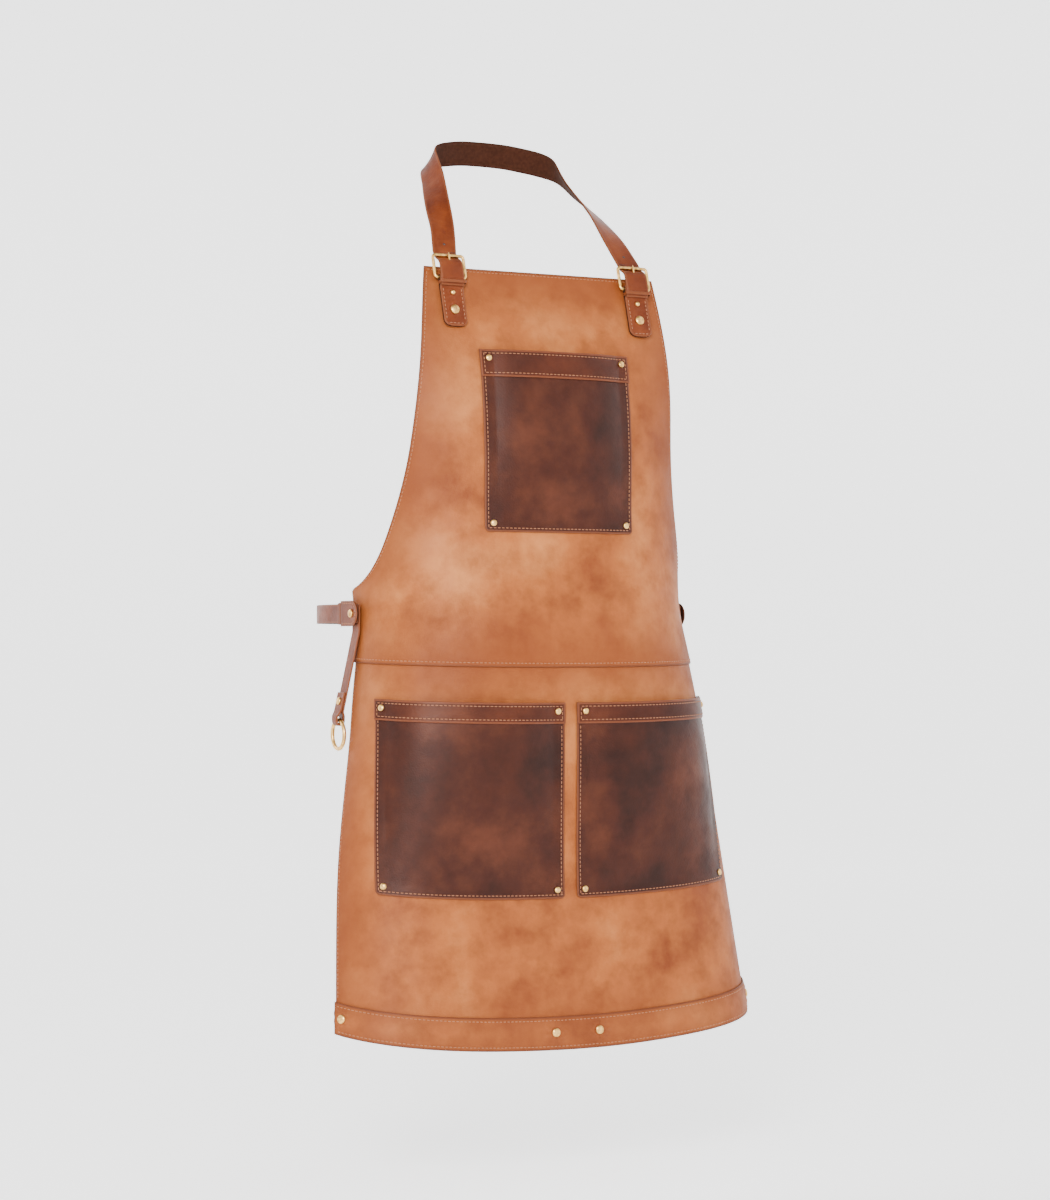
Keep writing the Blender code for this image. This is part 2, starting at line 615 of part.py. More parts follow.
def make_neck(bib):
    frames = {side: tab_frame(side) for side in (-1, 1)}
    for side, name in ((-1, "left"), (1, "right")):
        frame = frames[side]
        tab = make_tab(name + "_buckle_tab", frame)
        make_keeper(name + "_buckle_keeper", frame)
        make_buckle(name, frame)
        for kind, drop, radius in (("rivet", TAB_RIVET_DROP, TAB_RIVET_RADIUS),
                                   ("stud", TAB_STUD_DROP, TAB_STUD_RADIUS)):
            place = frame @ Matrix.Translation((0.0, FRONT_FACE, -drop))
            through = depth_to_lining(place, side * TAB_PLACE)
            rivet(f"{name}_tab_{kind}", place, radius, through, dome=0.4 if kind == "rivet" else 0.75)
            holes = post_holes(f"{name}_tab_{kind}_hole", [place], through)
            cut(tab, holes)
            cut(bib, holes)
    make_neck_strap(frames)
    return frames[-1].translation


# ---------------------------------------------------------------- waist belt and towel strap

def waist_frame(side):
    """Frame on a waist rivet's axis: x toward the back on the right side, y inward, z up."""
    level = SIDE_HEIGHT - WAIST_RIVET_DROP
    axes = Matrix(((0.0, -side, 0.0), (side, 0.0, 0.0), (0.0, 0.0, 1.0))).to_4x4()
    place = Vector(worn(side * WAIST_RIVET_PLACE, level, LAYER))
    u, v = np.meshgrid(np.linspace(WAIST_RIVET_PLACE - WAIST_SWEEP, WAIST_HALF_WIDTH, 9),
                       level + np.linspace(-WAIST_SWEEP, WAIST_SWEEP, 9))
    reach = np.abs(worn(side * u, v, LAYER)[..., 0]).max()
    axes.translation = (side * (reach + GAP), place.y, place.z)
    return axes


def waist_surface():
    """How far from the centre plane the bib's outer face is nearest under the waist rivet's back."""
    over_back = WAIST_RIVET_RADIUS * np.linspace(-1.0, 1.0, 5)
    along, up = np.meshgrid(over_back, over_back)
    level = SIDE_HEIGHT - WAIST_RIVET_DROP
    return worn(WAIST_RIVET_PLACE + along, level + up, LAYER)[..., 0].min()


def plate_columns(front, back, width, round_front):
    """Columns and widths of a strap plate from its front to its back, its front end rounded."""
    radius = width / 2
    ends = -front + radius * (1 - np.cos(np.linspace(0.12, math.pi / 2, 6))) if round_front else [-front]
    columns = np.concatenate((ends, steps(ends[-1] + 0.004, back, 0.012)))
    rise = np.clip(radius - (columns + front), 0.0, radius) if round_front else 0.0 * columns
    return columns, 2 * np.sqrt(radius**2 - rise**2)


def make_waist_belt(bib):
    """Belt round the back of the waist, its end tabs, rivets and keepers; returns each layer's place."""
    frames = {side: waist_frame(side) for side in (-1, 1)}
    outs = {}
    for side, name in ((-1, "left"), (1, "right")):
        frame = frames[side]
        inside = STRAP_THICKNESS + GAP if side < 0 else 0.0
        strap_out = inside + STRAP_THICKNESS / 2
        tab_out = strap_out + STRAP_THICKNESS + GAP
        outs[side] = strap_out
        columns, widths = plate_columns(WAIST_TAB_FRONT, WAIST_TAB_BACK, WAIST_TAB_WIDTH, True)
        path = [(side * x, -tab_out, 0.0) for x in columns]
        tab = ribbon(name + "_waist_tab", STRAP_BROWN, path, (0, 0, 1), widths, STRAP_THICKNESS,
                     frame=frame)
        face = tab_out + STRAP_THICKNESS / 2
        place = frame @ Matrix.Translation((0.0, -face, 0.0))
        surface = waist_surface()
        depth = face + abs(frame.translation.x) - surface + LEATHER + GAP
        rivet(name + "_waist_rivet", place, WAIST_RIVET_RADIUS, depth)
        holes = post_holes(name + "_waist_hole", [place], depth)
        cut(tab, holes)
        cut(bib, holes)
        outs[side, "holes"] = holes
        make_waist_keeper(name + "_waist_keeper", side, frame, strap_out)
    line = waist_line(frames, outs)
    belt = ribbon("waist_strap", STRAP_BROWN, line, (0, 0, 1), WAIST_STRAP_WIDTH, STRAP_THICKNESS)
    pivot(belt, (frames[-1].translation + frames[1].translation) / 2)
    for side in (-1, 1):
        cut(belt, outs[side, "holes"])
    return frames, outs


def waist_line(frames, outs):
    """Belt's middle line: straight back from each tab, then round the back of the waist."""
    left = frames[-1].translation + Vector((-outs[-1], 0, 0))
    right = frames[1].translation + Vector((outs[1], 0, 0))
    angles = np.linspace(0.0, math.pi, 33)
    middle, half = (left.x + right.x) / 2, (right.x - left.x) / 2
    bend_x = middle - half * np.sign(np.cos(angles)) * np.abs(np.cos(angles)) ** WAIST_LOOP_SQUARENESS
    bend_y = left.y + WAIST_STRAP_STRAIGHT + WAIST_LOOP_DEPTH * np.sin(angles) ** WAIST_LOOP_SQUARENESS
    straight = np.array((-0.009, 0.0, 0.009, 0.020, 0.035))
    xs = np.concatenate((np.full(5, left.x), bend_x, np.full(5, right.x)))
    ys = np.concatenate((left.y + straight, bend_y, (left.y + straight)[::-1]))
    return np.stack((xs, ys, np.full(len(xs), left.z)), 1)


def make_waist_keeper(name, side, frame, strap_out):
    """Closed leather loop that slides on the belt behind its tab."""
    t = KEEPER_THICKNESS
    half_z = WAIST_STRAP_WIDTH / 2 + 2 * FIT + t / 2
    half_y = STRAP_THICKNESS / 2 + FIT + t / 2
    ring = [(side * (WAIST_KEEPER_START + WAIST_KEEPER_WIDTH / 2), -strap_out + y * half_y, z * half_z)
            for y, z in ((1, 0.0), (1, 0.96), (0.6, 1.0), (-0.6, 1.0), (-1, 0.96), (-1, 0.0), (-1, -0.96),
                         (-0.6, -1.0), (0.6, -1.0), (1, -0.96))]
    ribbon(name, STRAP_BROWN, ring, (1.0, 0.0, 0.0), WAIST_KEEPER_WIDTH, t, True, frame)


def make_towel_strap(frame):
    """Strap that hangs from the left waist rivet, its end folded through a brass ring and riveted."""
    out = STRAP_THICKNESS / 2
    slope = math.tan(TOWEL_STRAP_FLARE)
    wall = RING_WIRE + 3 * FIT + STRAP_THICKNESS / 2
    hang = -TOWEL_STRAP_DROP
    ring_out = -out - slope * (TOWEL_STRAP_DROP - TOWEL_STRAP_BEND)
    closed = hang + 0.0125

    def lie(z):
        return -out + slope * min(0.0, z + TOWEL_STRAP_BEND)

    doubled = STRAP_THICKNESS + GAP
    front = [(lie(z) , z) for z in (0.010, 0.004, -0.006, -0.012, -TOWEL_STRAP_BEND, -0.026, -0.040,
                                    -0.060, -0.078, -0.086, -0.094)]
    front += [(lie(closed), closed), (ring_out + wall * 0.55, closed - 0.004),
              (ring_out + wall, hang + 0.0035)]
    low = hang - 0.0012
    bend = [(ring_out + wall * math.cos(a), low - wall * math.sin(a)) for a in np.linspace(0, math.pi, 9)]
    back = [(ring_out - wall, hang + 0.0035), (lie(closed) - doubled - 0.0012, closed - 0.0035)]
    back += [(lie(z) - doubled, z) for z in (closed + 0.0015, hang + 0.022, hang + TOWEL_FOLD_RISE)]
    path = [(0.0, y, z) for y, z in (*front, *bend, *back)]
    near = [min(1.0, max(0.0, (z - hang) / 0.012)) for _, _, z in path]
    widths = [0.012 + (TOWEL_STRAP_WIDTH - 0.012) * ease(share) for share in near]
    strap = ribbon("towel_strap", STRAP_BROWN, path, (1.0, 0.0, 0.0), widths, STRAP_THICKNESS, frame=frame)
    level = hang + TOWEL_RIVET_RISE + 0.008
    tilt = Matrix.Rotation(-TOWEL_STRAP_FLARE, 4, "X")
    place = frame @ Matrix.Translation((0.0, lie(level) - doubled - out, level)) @ tilt
    depth = doubled + STRAP_THICKNESS
    rivet("towel_rivet", place, TOWEL_RIVET_RADIUS, depth)
    cut(strap, post_holes("towel_rivet_hole", [place], depth))
    axis = frame @ Matrix.Translation((0.0, ring_out, hang))
    ring = [(RING_RADIUS * math.sin(a), 0.0, RING_RADIUS * (math.cos(a) - 1))
            for a in np.linspace(0, 2 * math.pi, 21)[:-1]]
    wire("towel_ring", ring, RING_WIRE, axis, cyclic=True)
    return strap


def hang_from_nape(bar_place):
    """Move everything so that the origin lies on the strap's inner face at the nape."""
    nape = bar_place + Vector((0.0, NECK_POINTS[-1, 1] - STRAP_THICKNESS / 2, NECK_POINTS[-1, 2]))
    shift = Matrix.Translation((0.0, -nape.y, -nape.z))
    for item in (*PARTS.objects, *CUTTERS.objects):
        item.matrix_world = shift @ item.matrix_world


clear_scene()
PARTS = collection("leather_apron")
CUTTERS = collection("cutters")
skirt_panel, bib_panel = make_panels()
make_pockets(skirt_panel, bib_panel)
bar_place = make_neck(bib_panel)
waist_frames, waist_outs = make_waist_belt(bib_panel)
towel_strap = make_towel_strap(waist_frames[-1])
cut(towel_strap, waist_outs[-1, "holes"])
hang_from_nape(bar_place)
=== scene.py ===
import json

import bpy
import numpy as np
from mathutils import Matrix, Vector


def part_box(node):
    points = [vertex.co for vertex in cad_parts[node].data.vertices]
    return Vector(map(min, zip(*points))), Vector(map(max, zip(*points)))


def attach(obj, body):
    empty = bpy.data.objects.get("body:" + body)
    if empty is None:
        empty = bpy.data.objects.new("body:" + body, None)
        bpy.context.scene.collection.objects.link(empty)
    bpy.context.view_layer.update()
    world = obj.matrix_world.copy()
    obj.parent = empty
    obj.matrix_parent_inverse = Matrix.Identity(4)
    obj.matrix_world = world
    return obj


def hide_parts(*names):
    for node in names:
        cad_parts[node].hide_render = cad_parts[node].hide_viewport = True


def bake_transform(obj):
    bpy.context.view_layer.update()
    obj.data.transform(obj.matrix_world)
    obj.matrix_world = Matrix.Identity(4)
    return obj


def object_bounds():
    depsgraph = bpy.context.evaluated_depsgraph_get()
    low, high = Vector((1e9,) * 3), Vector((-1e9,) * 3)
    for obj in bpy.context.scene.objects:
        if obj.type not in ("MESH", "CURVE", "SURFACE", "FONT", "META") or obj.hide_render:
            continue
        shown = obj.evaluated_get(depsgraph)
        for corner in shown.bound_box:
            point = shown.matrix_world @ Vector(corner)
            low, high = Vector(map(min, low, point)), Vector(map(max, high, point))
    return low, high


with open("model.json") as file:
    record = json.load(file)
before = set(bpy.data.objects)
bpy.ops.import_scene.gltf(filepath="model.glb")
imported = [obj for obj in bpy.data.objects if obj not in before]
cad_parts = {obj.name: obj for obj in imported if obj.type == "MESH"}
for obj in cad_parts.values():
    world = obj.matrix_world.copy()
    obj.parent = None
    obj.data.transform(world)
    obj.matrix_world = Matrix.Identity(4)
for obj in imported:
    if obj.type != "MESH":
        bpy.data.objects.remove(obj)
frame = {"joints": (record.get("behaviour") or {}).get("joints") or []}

cad_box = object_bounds()


# ---------------------------------------------------------------------------
# Skirt panel. Full-grain tan leather about 1.6 mm thick, cut wider at the hem than at the waist.
# It wraps the wearer's front and hangs to the shin, so each level is an arc that turns at the sides.

LENGTH = 0.850
BIB_HALF_WIDTH, WAIST_HALF_WIDTH, HEM_HALF_WIDTH = 0.143, 0.262, 0.281
SEAM_HEIGHT, SEAM_LAP, SIDE_HEIGHT, HEM_LIFT = 0.413, 0.012, 0.495, 0.30
LEATHER, GAP = 0.0016, 0.0004
LAYER = LEATHER + GAP
# Share of the length, front line's y, side turn in degrees, roundness of the turn
WORN_SHAPE = np.array((
    (0.00, 0.000, 54.0, 3.5), (0.21, 0.017, 68.0, 3.0), (0.41, 0.016, 88.0, 2.4), (0.55, 0.020, 92.0, 1.8),
    (0.66, 0.035, 84.0, 1.7), (0.77, 0.038, 92.0, 1.9), (0.88, 0.053, 66.0, 2.2), (1.00, 0.088, 0.0, 2.2)))

# The skirt's front middle is its lowest and foremost point, so its box gives the hem's place
skirt_low = np.array(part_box("skirt_panel")[0])
HEM_FRONT = np.array((0.0, skirt_low[1], skirt_low[2]))


def station(z, column):
    """One column of the worn shape at height z: cubic Hermite between its stations."""
    heights, values = WORN_SHAPE[:, 0] * LENGTH, WORN_SHAPE[:, column]
    slopes = np.gradient(values, heights)
    z = np.clip(np.asarray(z, float), 0.0, LENGTH)
    i = np.clip(np.searchsorted(heights, z, side="right") - 1, 0, len(heights) - 2)
    step = heights[i + 1] - heights[i]
    t = (z - heights[i]) / step
    return ((2 * t**3 - 3 * t**2 + 1) * values[i] + (t**3 - 2 * t**2 + t) * step * slopes[i]
            + (3 * t**2 - 2 * t**3) * values[i + 1] + (t**3 - t**2) * step * slopes[i + 1])


def slack(along, height):
    """Soft waves of worn leather, in metres: slow folds down the skirt and across the belly."""
    low = np.clip(1 - height / SEAM_HEIGHT, 0, 1)
    folds = np.sin(along * 23 + 1.1 + 2.2 * height) * np.cos(along * 9.5 - 0.6) * low**1.2
    belly = np.sin(height * 46 + along * 7) * np.exp(-((height - 0.47) / 0.07) ** 2)
    chest = np.sin(along * 31 - height * 18) * np.exp(-((height - 0.62) / 0.10) ** 2)
    return 0.0022 * folds + 0.0009 * belly + 0.0007 * chest


def worn(along, height, out=0.0):
    """Point on the worn leather: the level's direction turns by turn*(reach/half waist)**power, and the
    point is the mean direction times the distance along, raised at the sides by the hem's lift."""
    along, height, out = np.broadcast_arrays(*(np.asarray(a, float) for a in (along, height, out)))
    turn, power = np.radians(station(height, 2)), station(height, 3)
    reach = np.abs(along)
    share = (np.arange(24) + 0.5) / 24
    angle = turn[..., None] * (share * reach[..., None] / WAIST_HALF_WIDTH) ** power[..., None]
    x = np.cos(angle).mean(-1) * along
    y = np.sin(angle).mean(-1) * reach + station(height, 1)
    end = turn * (reach / WAIST_HALF_WIDTH) ** power * np.sign(along)
    lift = HEM_LIFT * (1 - height / LENGTH) ** 2 * along**2
    return HEM_FRONT + np.stack((x + out * np.sin(end), y - out * np.cos(end), height + lift), -1)


def soft(along, height, out=0.0):
    """The worn surface moved out by the leather's slack."""
    return worn(along, height, out + slack(along, height))


def half_width(height):
    """Half width of the cut: straight sides, then the armhole as one Bezier curve."""
    height = np.asarray(height, float)
    side = HEM_HALF_WIDTH + (WAIST_HALF_WIDTH - HEM_HALF_WIDTH) * height / SIDE_HEIGHT
    t = np.linspace(0.0, 1.0, 300)
    weights = ((1 - t)**3, 3 * t * (1 - t)**2, 3 * t**2 * (1 - t), t**3)
    spread = WAIST_HALF_WIDTH - BIB_HALF_WIDTH
    curve_x = np.dot((WAIST_HALF_WIDTH, BIB_HALF_WIDTH + 0.25 * spread,
                      BIB_HALF_WIDTH + 0.19 * spread, BIB_HALF_WIDTH), weights)
    curve_z = SIDE_HEIGHT + (LENGTH - SIDE_HEIGHT) * np.dot((0.0, 0.05, 0.59, 1.0), weights)
    return np.where(height < SIDE_HEIGHT, side, np.interp(height, curve_z, curve_x))


def edge_lines(low, high, count):
    """Grid lines from low to high, crowded at both ends so that a cut edge can be rounded."""
    near = np.array((0.0, 0.0003, 0.0008, 0.0016, 0.0026, 0.0040))
    near = near[near < (high - low) * 0.3]
    inside = np.linspace(low + near[-1], high - near[-1], count)
    return np.concatenate((low + near[:-1], inside, high - near[-2::-1]))


def make_mesh(name, points, faces, values=()):
    """Object from an array of points and one of faces, with a named number on each point."""
    mesh = bpy.data.meshes.new(name)
    mesh.from_pydata(points.reshape(-1, 3), [], faces)
    mesh.update()
    for key, numbers in dict(values).items():
        layer = mesh.attributes.new(key, "FLOAT", "POINT")
        layer.data.foreach_set("value", np.ascontiguousarray(numbers, np.float32).ravel())
    mesh.shade_smooth()
    piece = bpy.data.objects.new(name, mesh)
    bpy.context.scene.collection.objects.link(piece)
    return piece


def grid_faces(rows, columns, start=0, wrap=False):
    """Quads of a grid of points numbered row by row. wrap joins the last row to the first."""
    i, j = np.meshgrid(np.arange(rows if wrap else rows - 1), np.arange(columns - 1), indexing="ij")
    k = (i + 1) % rows
    return start + np.stack((i * columns + j, i * columns + j + 1, k * columns + j + 1, k * columns + j),
                            -1).reshape(-1, 4)


def shell(name, outer, inner, rim, wrap=False):
    """Closed sheet from two grids: the outer face, the inner face turned over, and walls between
    their edges. rim is each grid point's distance from the cut edge."""
    rows, columns = outer.shape[:2]
    total = rows * columns
    faces = [grid_faces(rows, columns, 0, wrap), grid_faces(rows, columns, total, wrap)[:, ::-1]]
    number = np.arange(total).reshape(rows, columns)
    edges = [number[::-1, 0], number[:, -1]]
    if wrap:
        edges = [np.append(number[::-1, 0], number[-1, 0]), np.append(number[:, -1], number[0, -1])]
    else:
        edges += [number[0], number[-1, ::-1]]
    for edge in edges:
        a, b = edge[:-1], edge[1:]
        faces.append(np.stack((b, a, a + total, b + total), -1))
    back = np.repeat((0.0, 1.0), total)
    return make_mesh(name, np.concatenate((outer.reshape(-1, 3), inner.reshape(-1, 3))),
                     np.concatenate(faces), {"rim": np.tile(rim.ravel(), 2), "back": back})


def rounded(distance, radius):
    """How full the thickness is at a distance from a cut edge: a quarter circle from 0.3 up to 1."""
    share = 1 - np.clip(distance / radius, 0.0, 1.0)
    return 0.3 + 0.7 * np.sqrt(1 - share**2)


def leather_sheet(name, columns, rows, place, distance, thickness=LEATHER):
    """Sheet whose outer face is place(column, row, out); distance(column, row) is from the cut edge."""
    u, v = np.meshgrid(columns, rows)
    rim = distance(u, v)
    full = rounded(rim, thickness * 0.6)
    half = thickness / 2
    return shell(name, place(u, v, half * (full - 1)), place(u, v, -half * (1 + full)), rim)


def node(tree, kind, inputs=(), **settings):
    """Shader node with its settings, and values or links on its inputs."""
    made = tree.nodes.new("ShaderNode" + kind)
    for key, value in settings.items():
        setattr(made, key, value)
    for key, value in dict(inputs).items():
        if isinstance(value, bpy.types.NodeSocket):
            tree.links.new(value, made.inputs[key])
        else:
            made.inputs[key].default_value = value
    return made


def ramp(tree, factor, *stops):
    """Colour ramp through (position, colour) stops."""
    made = node(tree, "ValToRGB", {"Fac": factor})
    marks = made.color_ramp.elements
    marks[0].position, marks[0].color = stops[0][0], (*stops[0][1], 1)
    marks[1].position, marks[1].color = stops[-1][0], (*stops[-1][1], 1)
    for position, colour in stops[1:-1]:
        marks.new(position).color = (*colour, 1)
    return made.outputs["Color"]


def blend_colour(tree, factor, first, second, how="MIX"):
    """Mix of two colours, each a link or a plain colour."""
    mix = node(tree, "Mix", {0: factor, 6: first, 7: second}, data_type="RGBA", blend_type=how)
    return mix.outputs[2]


def leather_finish(name, dark, middle, light, rim, flesh, roughness=0.56, grain=0.35, cloud=7.0,
                   margin_shade=(0.012, 0.30)):
    """Full-grain leather: slow cloudy dye, finer mottling and dark flecks, a burnished rim, painted shade
    that darkens a margin inward of the rim, a suede back, fine wrinkles, and a pebbled grain with pores in
    the bump."""
    made = bpy.data.materials.new(name)
    made.use_nodes = True
    tree = made.node_tree
    shader = tree.nodes["Principled BSDF"]
    place = node(tree, "TexCoord").outputs["Object"]
    slow = node(tree, "TexNoise", {"Vector": place, "Scale": cloud, "Detail": 6, "Roughness": 0.62})
    colour = ramp(tree, slow.outputs["Fac"], (0.34, dark), (0.50, middle), (0.66, light))
    mottle = node(tree, "TexNoise", {"Vector": place, "Scale": 34, "Detail": 8, "Roughness": 0.62})
    fleck = ramp(tree, mottle.outputs["Fac"], (0.30, (0.62, 0.56, 0.52)), (0.56, (1, 1, 1)))
    colour = blend_colour(tree, 0.75, colour, fleck, "MULTIPLY")
    edge = node(tree, "Attribute", attribute_name="rim").outputs["Fac"]
    worn_band = node(tree, "MapRange", {"Value": edge, "From Min": 0.0014, "From Max": 0.0026, "To Min": 1,
                                        "To Max": 0})
    # Painted shade: the colour darkens from the rim inward over the given reach, standing in for light that
    # falls off towards the edges
    shade = node(tree, "MapRange", {"Value": edge, "From Min": 0.0026, "From Max": margin_shade[0],
                                    "To Min": margin_shade[1], "To Max": 0})
    colour = blend_colour(tree, shade.outputs["Result"], colour, (*dark, 1))
    colour = blend_colour(tree, worn_band.outputs["Result"], colour, (*rim, 1))
    back = node(tree, "Attribute", attribute_name="back").outputs["Fac"]
    nap = node(tree, "TexNoise", {"Vector": place, "Scale": 320, "Detail": 3})
    suede = ramp(tree, nap.outputs["Fac"], (0.35, tuple(0.72 * c for c in flesh)), (0.65, flesh))
    colour = blend_colour(tree, back, colour, suede)
    tree.links.new(colour, shader.inputs["Base Color"])
    gloss = node(tree, "MapRange", {"Value": mottle.outputs["Fac"], "From Min": 0.3, "From Max": 0.7,
                                    "To Min": roughness + 0.10, "To Max": roughness - 0.08})
    dull = node(tree, "Math", {0: gloss.outputs["Result"], 1: back}, operation="MAXIMUM")
    tree.links.new(dull.outputs[0], shader.inputs["Roughness"])
    pebble = node(tree, "TexVoronoi", {"Vector": place, "Scale": 620}, feature="SMOOTH_F1")
    pores = node(tree, "TexNoise", {"Vector": place, "Scale": 1500, "Detail": 2})
    creases = node(tree, "TexNoise", {"Vector": place, "Scale": 55, "Detail": 7, "Distortion": 0.9})
    fine = node(tree, "Bump", {"Height": pebble.outputs["Distance"], "Strength": grain, "Distance": 0.0004})
    finer = node(tree, "Bump", {"Height": pores.outputs["Fac"], "Strength": grain * 0.5,
                                "Distance": 0.0003, "Normal": fine.outputs["Normal"]})
    broad = node(tree, "Bump", {"Height": creases.outputs["Fac"], "Strength": grain * 0.8,
                                "Distance": 0.0016, "Normal": finer.outputs["Normal"]})
    tree.links.new(broad.outputs["Normal"], shader.inputs["Normal"])
    shader.inputs["Specular IOR Level"].default_value = 0.16
    return made


def finish_with(piece, look, slot, body="apron", *nodes):
    """Give a piece its material, record its body, and hide the CAD nodes that it stands for. slot is not
    used.
    """
    piece.data.materials.append(look)
    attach(piece, body)
    if nodes:
        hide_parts(*nodes)
    return piece


# The panels' wide dark margin is painted shade where their sides turn away from the light
tan_leather = leather_finish("tan_leather", (0.165, 0.036, 0.0065), (0.290, 0.080, 0.016),
                             (0.420, 0.145, 0.038), (0.12, 0.030, 0.008), (0.20, 0.090, 0.038),
                             margin_shade=(0.070, 0.85))


def panel(name, low, high, columns, rows, out):
    """Main panel: column is a share of the half width at that height, row a height."""
    def place(u, v, offset):
        return soft(u * half_width(v), v, out + offset)

    def distance(u, v):
        return np.minimum((1 - np.abs(u)) * half_width(v), np.minimum(v - low, high - v))

    shares = edge_lines(-WAIST_HALF_WIDTH, WAIST_HALF_WIDTH, columns) / WAIST_HALF_WIDTH
    return leather_sheet(name, shares, edge_lines(low, high, rows), place, distance)


skirt = panel("skirt_leather", 0.0, SEAM_HEIGHT + SEAM_LAP, 150, 110, 0.0)
finish_with(skirt, tan_leather, "panel_leather", "apron", "skirt_panel")
SKIRT_AREA = (SEAM_HEIGHT + SEAM_LAP) * (HEM_HALF_WIDTH + half_width(SEAM_HEIGHT + SEAM_LAP))


# ---------------------------------------------------------------------------
# Bib panel. The same tan leather, lapped over the skirt's top edge and sewn to it along the waist.
# Its sides are cut away in a long curve for the arms, and its raw edges are burnished.

bib = panel("bib_leather", SEAM_HEIGHT, LENGTH, 140, 120, LAYER)
finish_with(bib, tan_leather, "panel_leather", "apron", "bib_panel")
bib_heights = np.linspace(SEAM_HEIGHT, LENGTH, 200)
BIB_AREA = (LENGTH - SEAM_HEIGHT) * np.mean(2 * half_width(bib_heights))
2 * float(half_width(SEAM_HEIGHT))

THREAD_LENGTH, THREAD_RADIUS, STITCH_PITCH = 0.0034, 0.00042, 0.0046


def thread_finish(name, colour):
    """Waxed thread: two close browns in fine bands, a little sheen."""
    made = bpy.data.materials.new(name)
    made.use_nodes = True
    tree = made.node_tree
    shader = tree.nodes["Principled BSDF"]
    place = node(tree, "TexCoord").outputs["Object"]
    twist = node(tree, "TexNoise", {"Vector": place, "Scale": 1400, "Detail": 2})
    shades = ramp(tree, twist.outputs["Fac"], (0.3, tuple(0.6 * c for c in colour)), (0.7, colour))
    tree.links.new(shades, shader.inputs["Base Color"])
    bump = node(tree, "Bump", {"Height": twist.outputs["Fac"], "Strength": 0.5, "Distance": 0.0002})
    tree.links.new(bump.outputs["Normal"], shader.inputs["Normal"])
    shader.inputs["Roughness"].default_value = 0.62
    return made


tan_thread = thread_finish("tan_thread", (0.34, 0.120, 0.042))
brown_thread = thread_finish("brown_thread", (0.32, 0.110, 0.040))


def stitch_row(place, us, vs, out):
    """Places, directions and outward normals of the stitches along a line on the leather. The line
    is place(u, v, out) at many points, read again at every pitch of its length."""
    fine = np.linspace(0.0, 1.0, 400)
    marks = np.linspace(0.0, 1.0, len(us))
    u, v = np.interp(fine, marks, us), np.interp(fine, marks, vs)
    line, above = place(u, v, out), place(u, v, out + 0.001)
    run = np.concatenate(([0.0], np.cumsum(np.linalg.norm(np.diff(line, axis=0), axis=1))))
    at = np.arange(STITCH_PITCH / 2, run[-1], STITCH_PITCH)
    read = [np.stack([np.interp(at, run, c) for c in grid.T], 1)
            for grid in (line, np.gradient(line, axis=0), above - line)]
    return read


def sew(name, rows, look, slot, body="apron"):
    """Stitches of the given rows as one piece: each is a short thread, round in section and thinned
    to a point where it dips into its holes."""
    centre, along, up = (np.concatenate(part) for part in zip(*rows))
    along = along / np.linalg.norm(along, axis=1, keepdims=True)
    up = up / np.linalg.norm(up, axis=1, keepdims=True)
    side = np.cross(along, up)
    t = np.repeat(np.array((-1.0, -0.8, 0.0, 0.8, 1.0)), 6)
    thick = np.repeat(np.array((0.15, 0.8, 1.0, 0.8, 0.15)), 6)
    turn = np.tile(np.arange(6) * np.pi / 3, 5)
    dip = np.repeat(np.array((-0.8, 0.1, 0.45, 0.1, -0.8)), 6)
    local = np.stack((t * THREAD_LENGTH / 2, thick * np.cos(turn) * THREAD_RADIUS * 1.25,
                      (thick * np.sin(turn) + dip) * THREAD_RADIUS), 1)
    frames = np.stack((along, side, up), 1)
    points = centre[:, None] + np.einsum("kc,ncx->nkx", local, frames)
    ring = np.arange(6)
    quads = np.concatenate([np.stack((6 * r + ring, 6 * r + (ring + 1) % 6, 6 * r + 6 + (ring + 1) % 6,
                                      6 * r + 6 + ring), 1) for r in range(4)])
    faces = (np.arange(len(centre))[:, None, None] * 30 + quads).reshape(-1, 4)
    piece = make_mesh(name, points, faces)
    piece.data.flip_normals()
    return finish_with(piece, look, slot, body)


across = np.linspace(-1.0, 1.0, 60)
seam_line = SEAM_HEIGHT + 0.0045
sew("waist_seam_stitches",
    [stitch_row(soft, across * (half_width(seam_line) - 0.004), np.full(60, seam_line), LAYER)],
    tan_thread, "panel_leather")
EDGE_INSET = 0.0036
up_bib = np.linspace(seam_line, LENGTH - EDGE_INSET, 120)
up_skirt = np.linspace(0.040, SEAM_HEIGHT, 60)
top_line = LENGTH - EDGE_INSET
sew("panel_edge_stitches",
    [stitch_row(soft, side * (half_width(up_bib) - EDGE_INSET), up_bib, LAYER) for side in (-1, 1)]
    + [stitch_row(soft, side * (half_width(up_skirt) - EDGE_INSET), up_skirt, 0.0) for side in (-1, 1)]
    + [stitch_row(soft, across * (half_width(top_line) - EDGE_INSET), np.full(60, top_line), LAYER)],
    tan_thread, "panel_leather")


# ---------------------------------------------------------------------------
# Hem band. A strip of the same leather sewn over the skirt's lower edge with two rows of stitches.
# Four brass studs go through it, two near the middle and one near each side, and pucker it.

HEM_BAND_HEIGHT, HEM_STUD_HEIGHT, HEM_STUD_RADIUS = 0.036, 0.019, 0.0048
HEM_STUD_PLACES = (-0.0265, 0.0265, -0.270, 0.270)


def pucker(along, height):
    """Leather drawn in round each stud: a shallow dish 9 mm wide with small radial folds."""
    total = np.zeros_like(along)
    for place in HEM_STUD_PLACES:
        dx, dz = along - place, height - HEM_STUD_HEIGHT
        reach = np.hypot(dx, dz)
        ring = np.exp(-((reach - 0.0085) / 0.0040) ** 2)
        total = total + 0.0007 * ring * (1 + 0.8 * np.cos(7 * np.arctan2(dz, dx)))
    return total


def band_place(u, v, out):
    return soft(u * half_width(v), v, LAYER + out + pucker(u * half_width(v), v))


def band_distance(u, v):
    return np.minimum((1 - np.abs(u)) * half_width(v), np.minimum(v, HEM_BAND_HEIGHT - v))
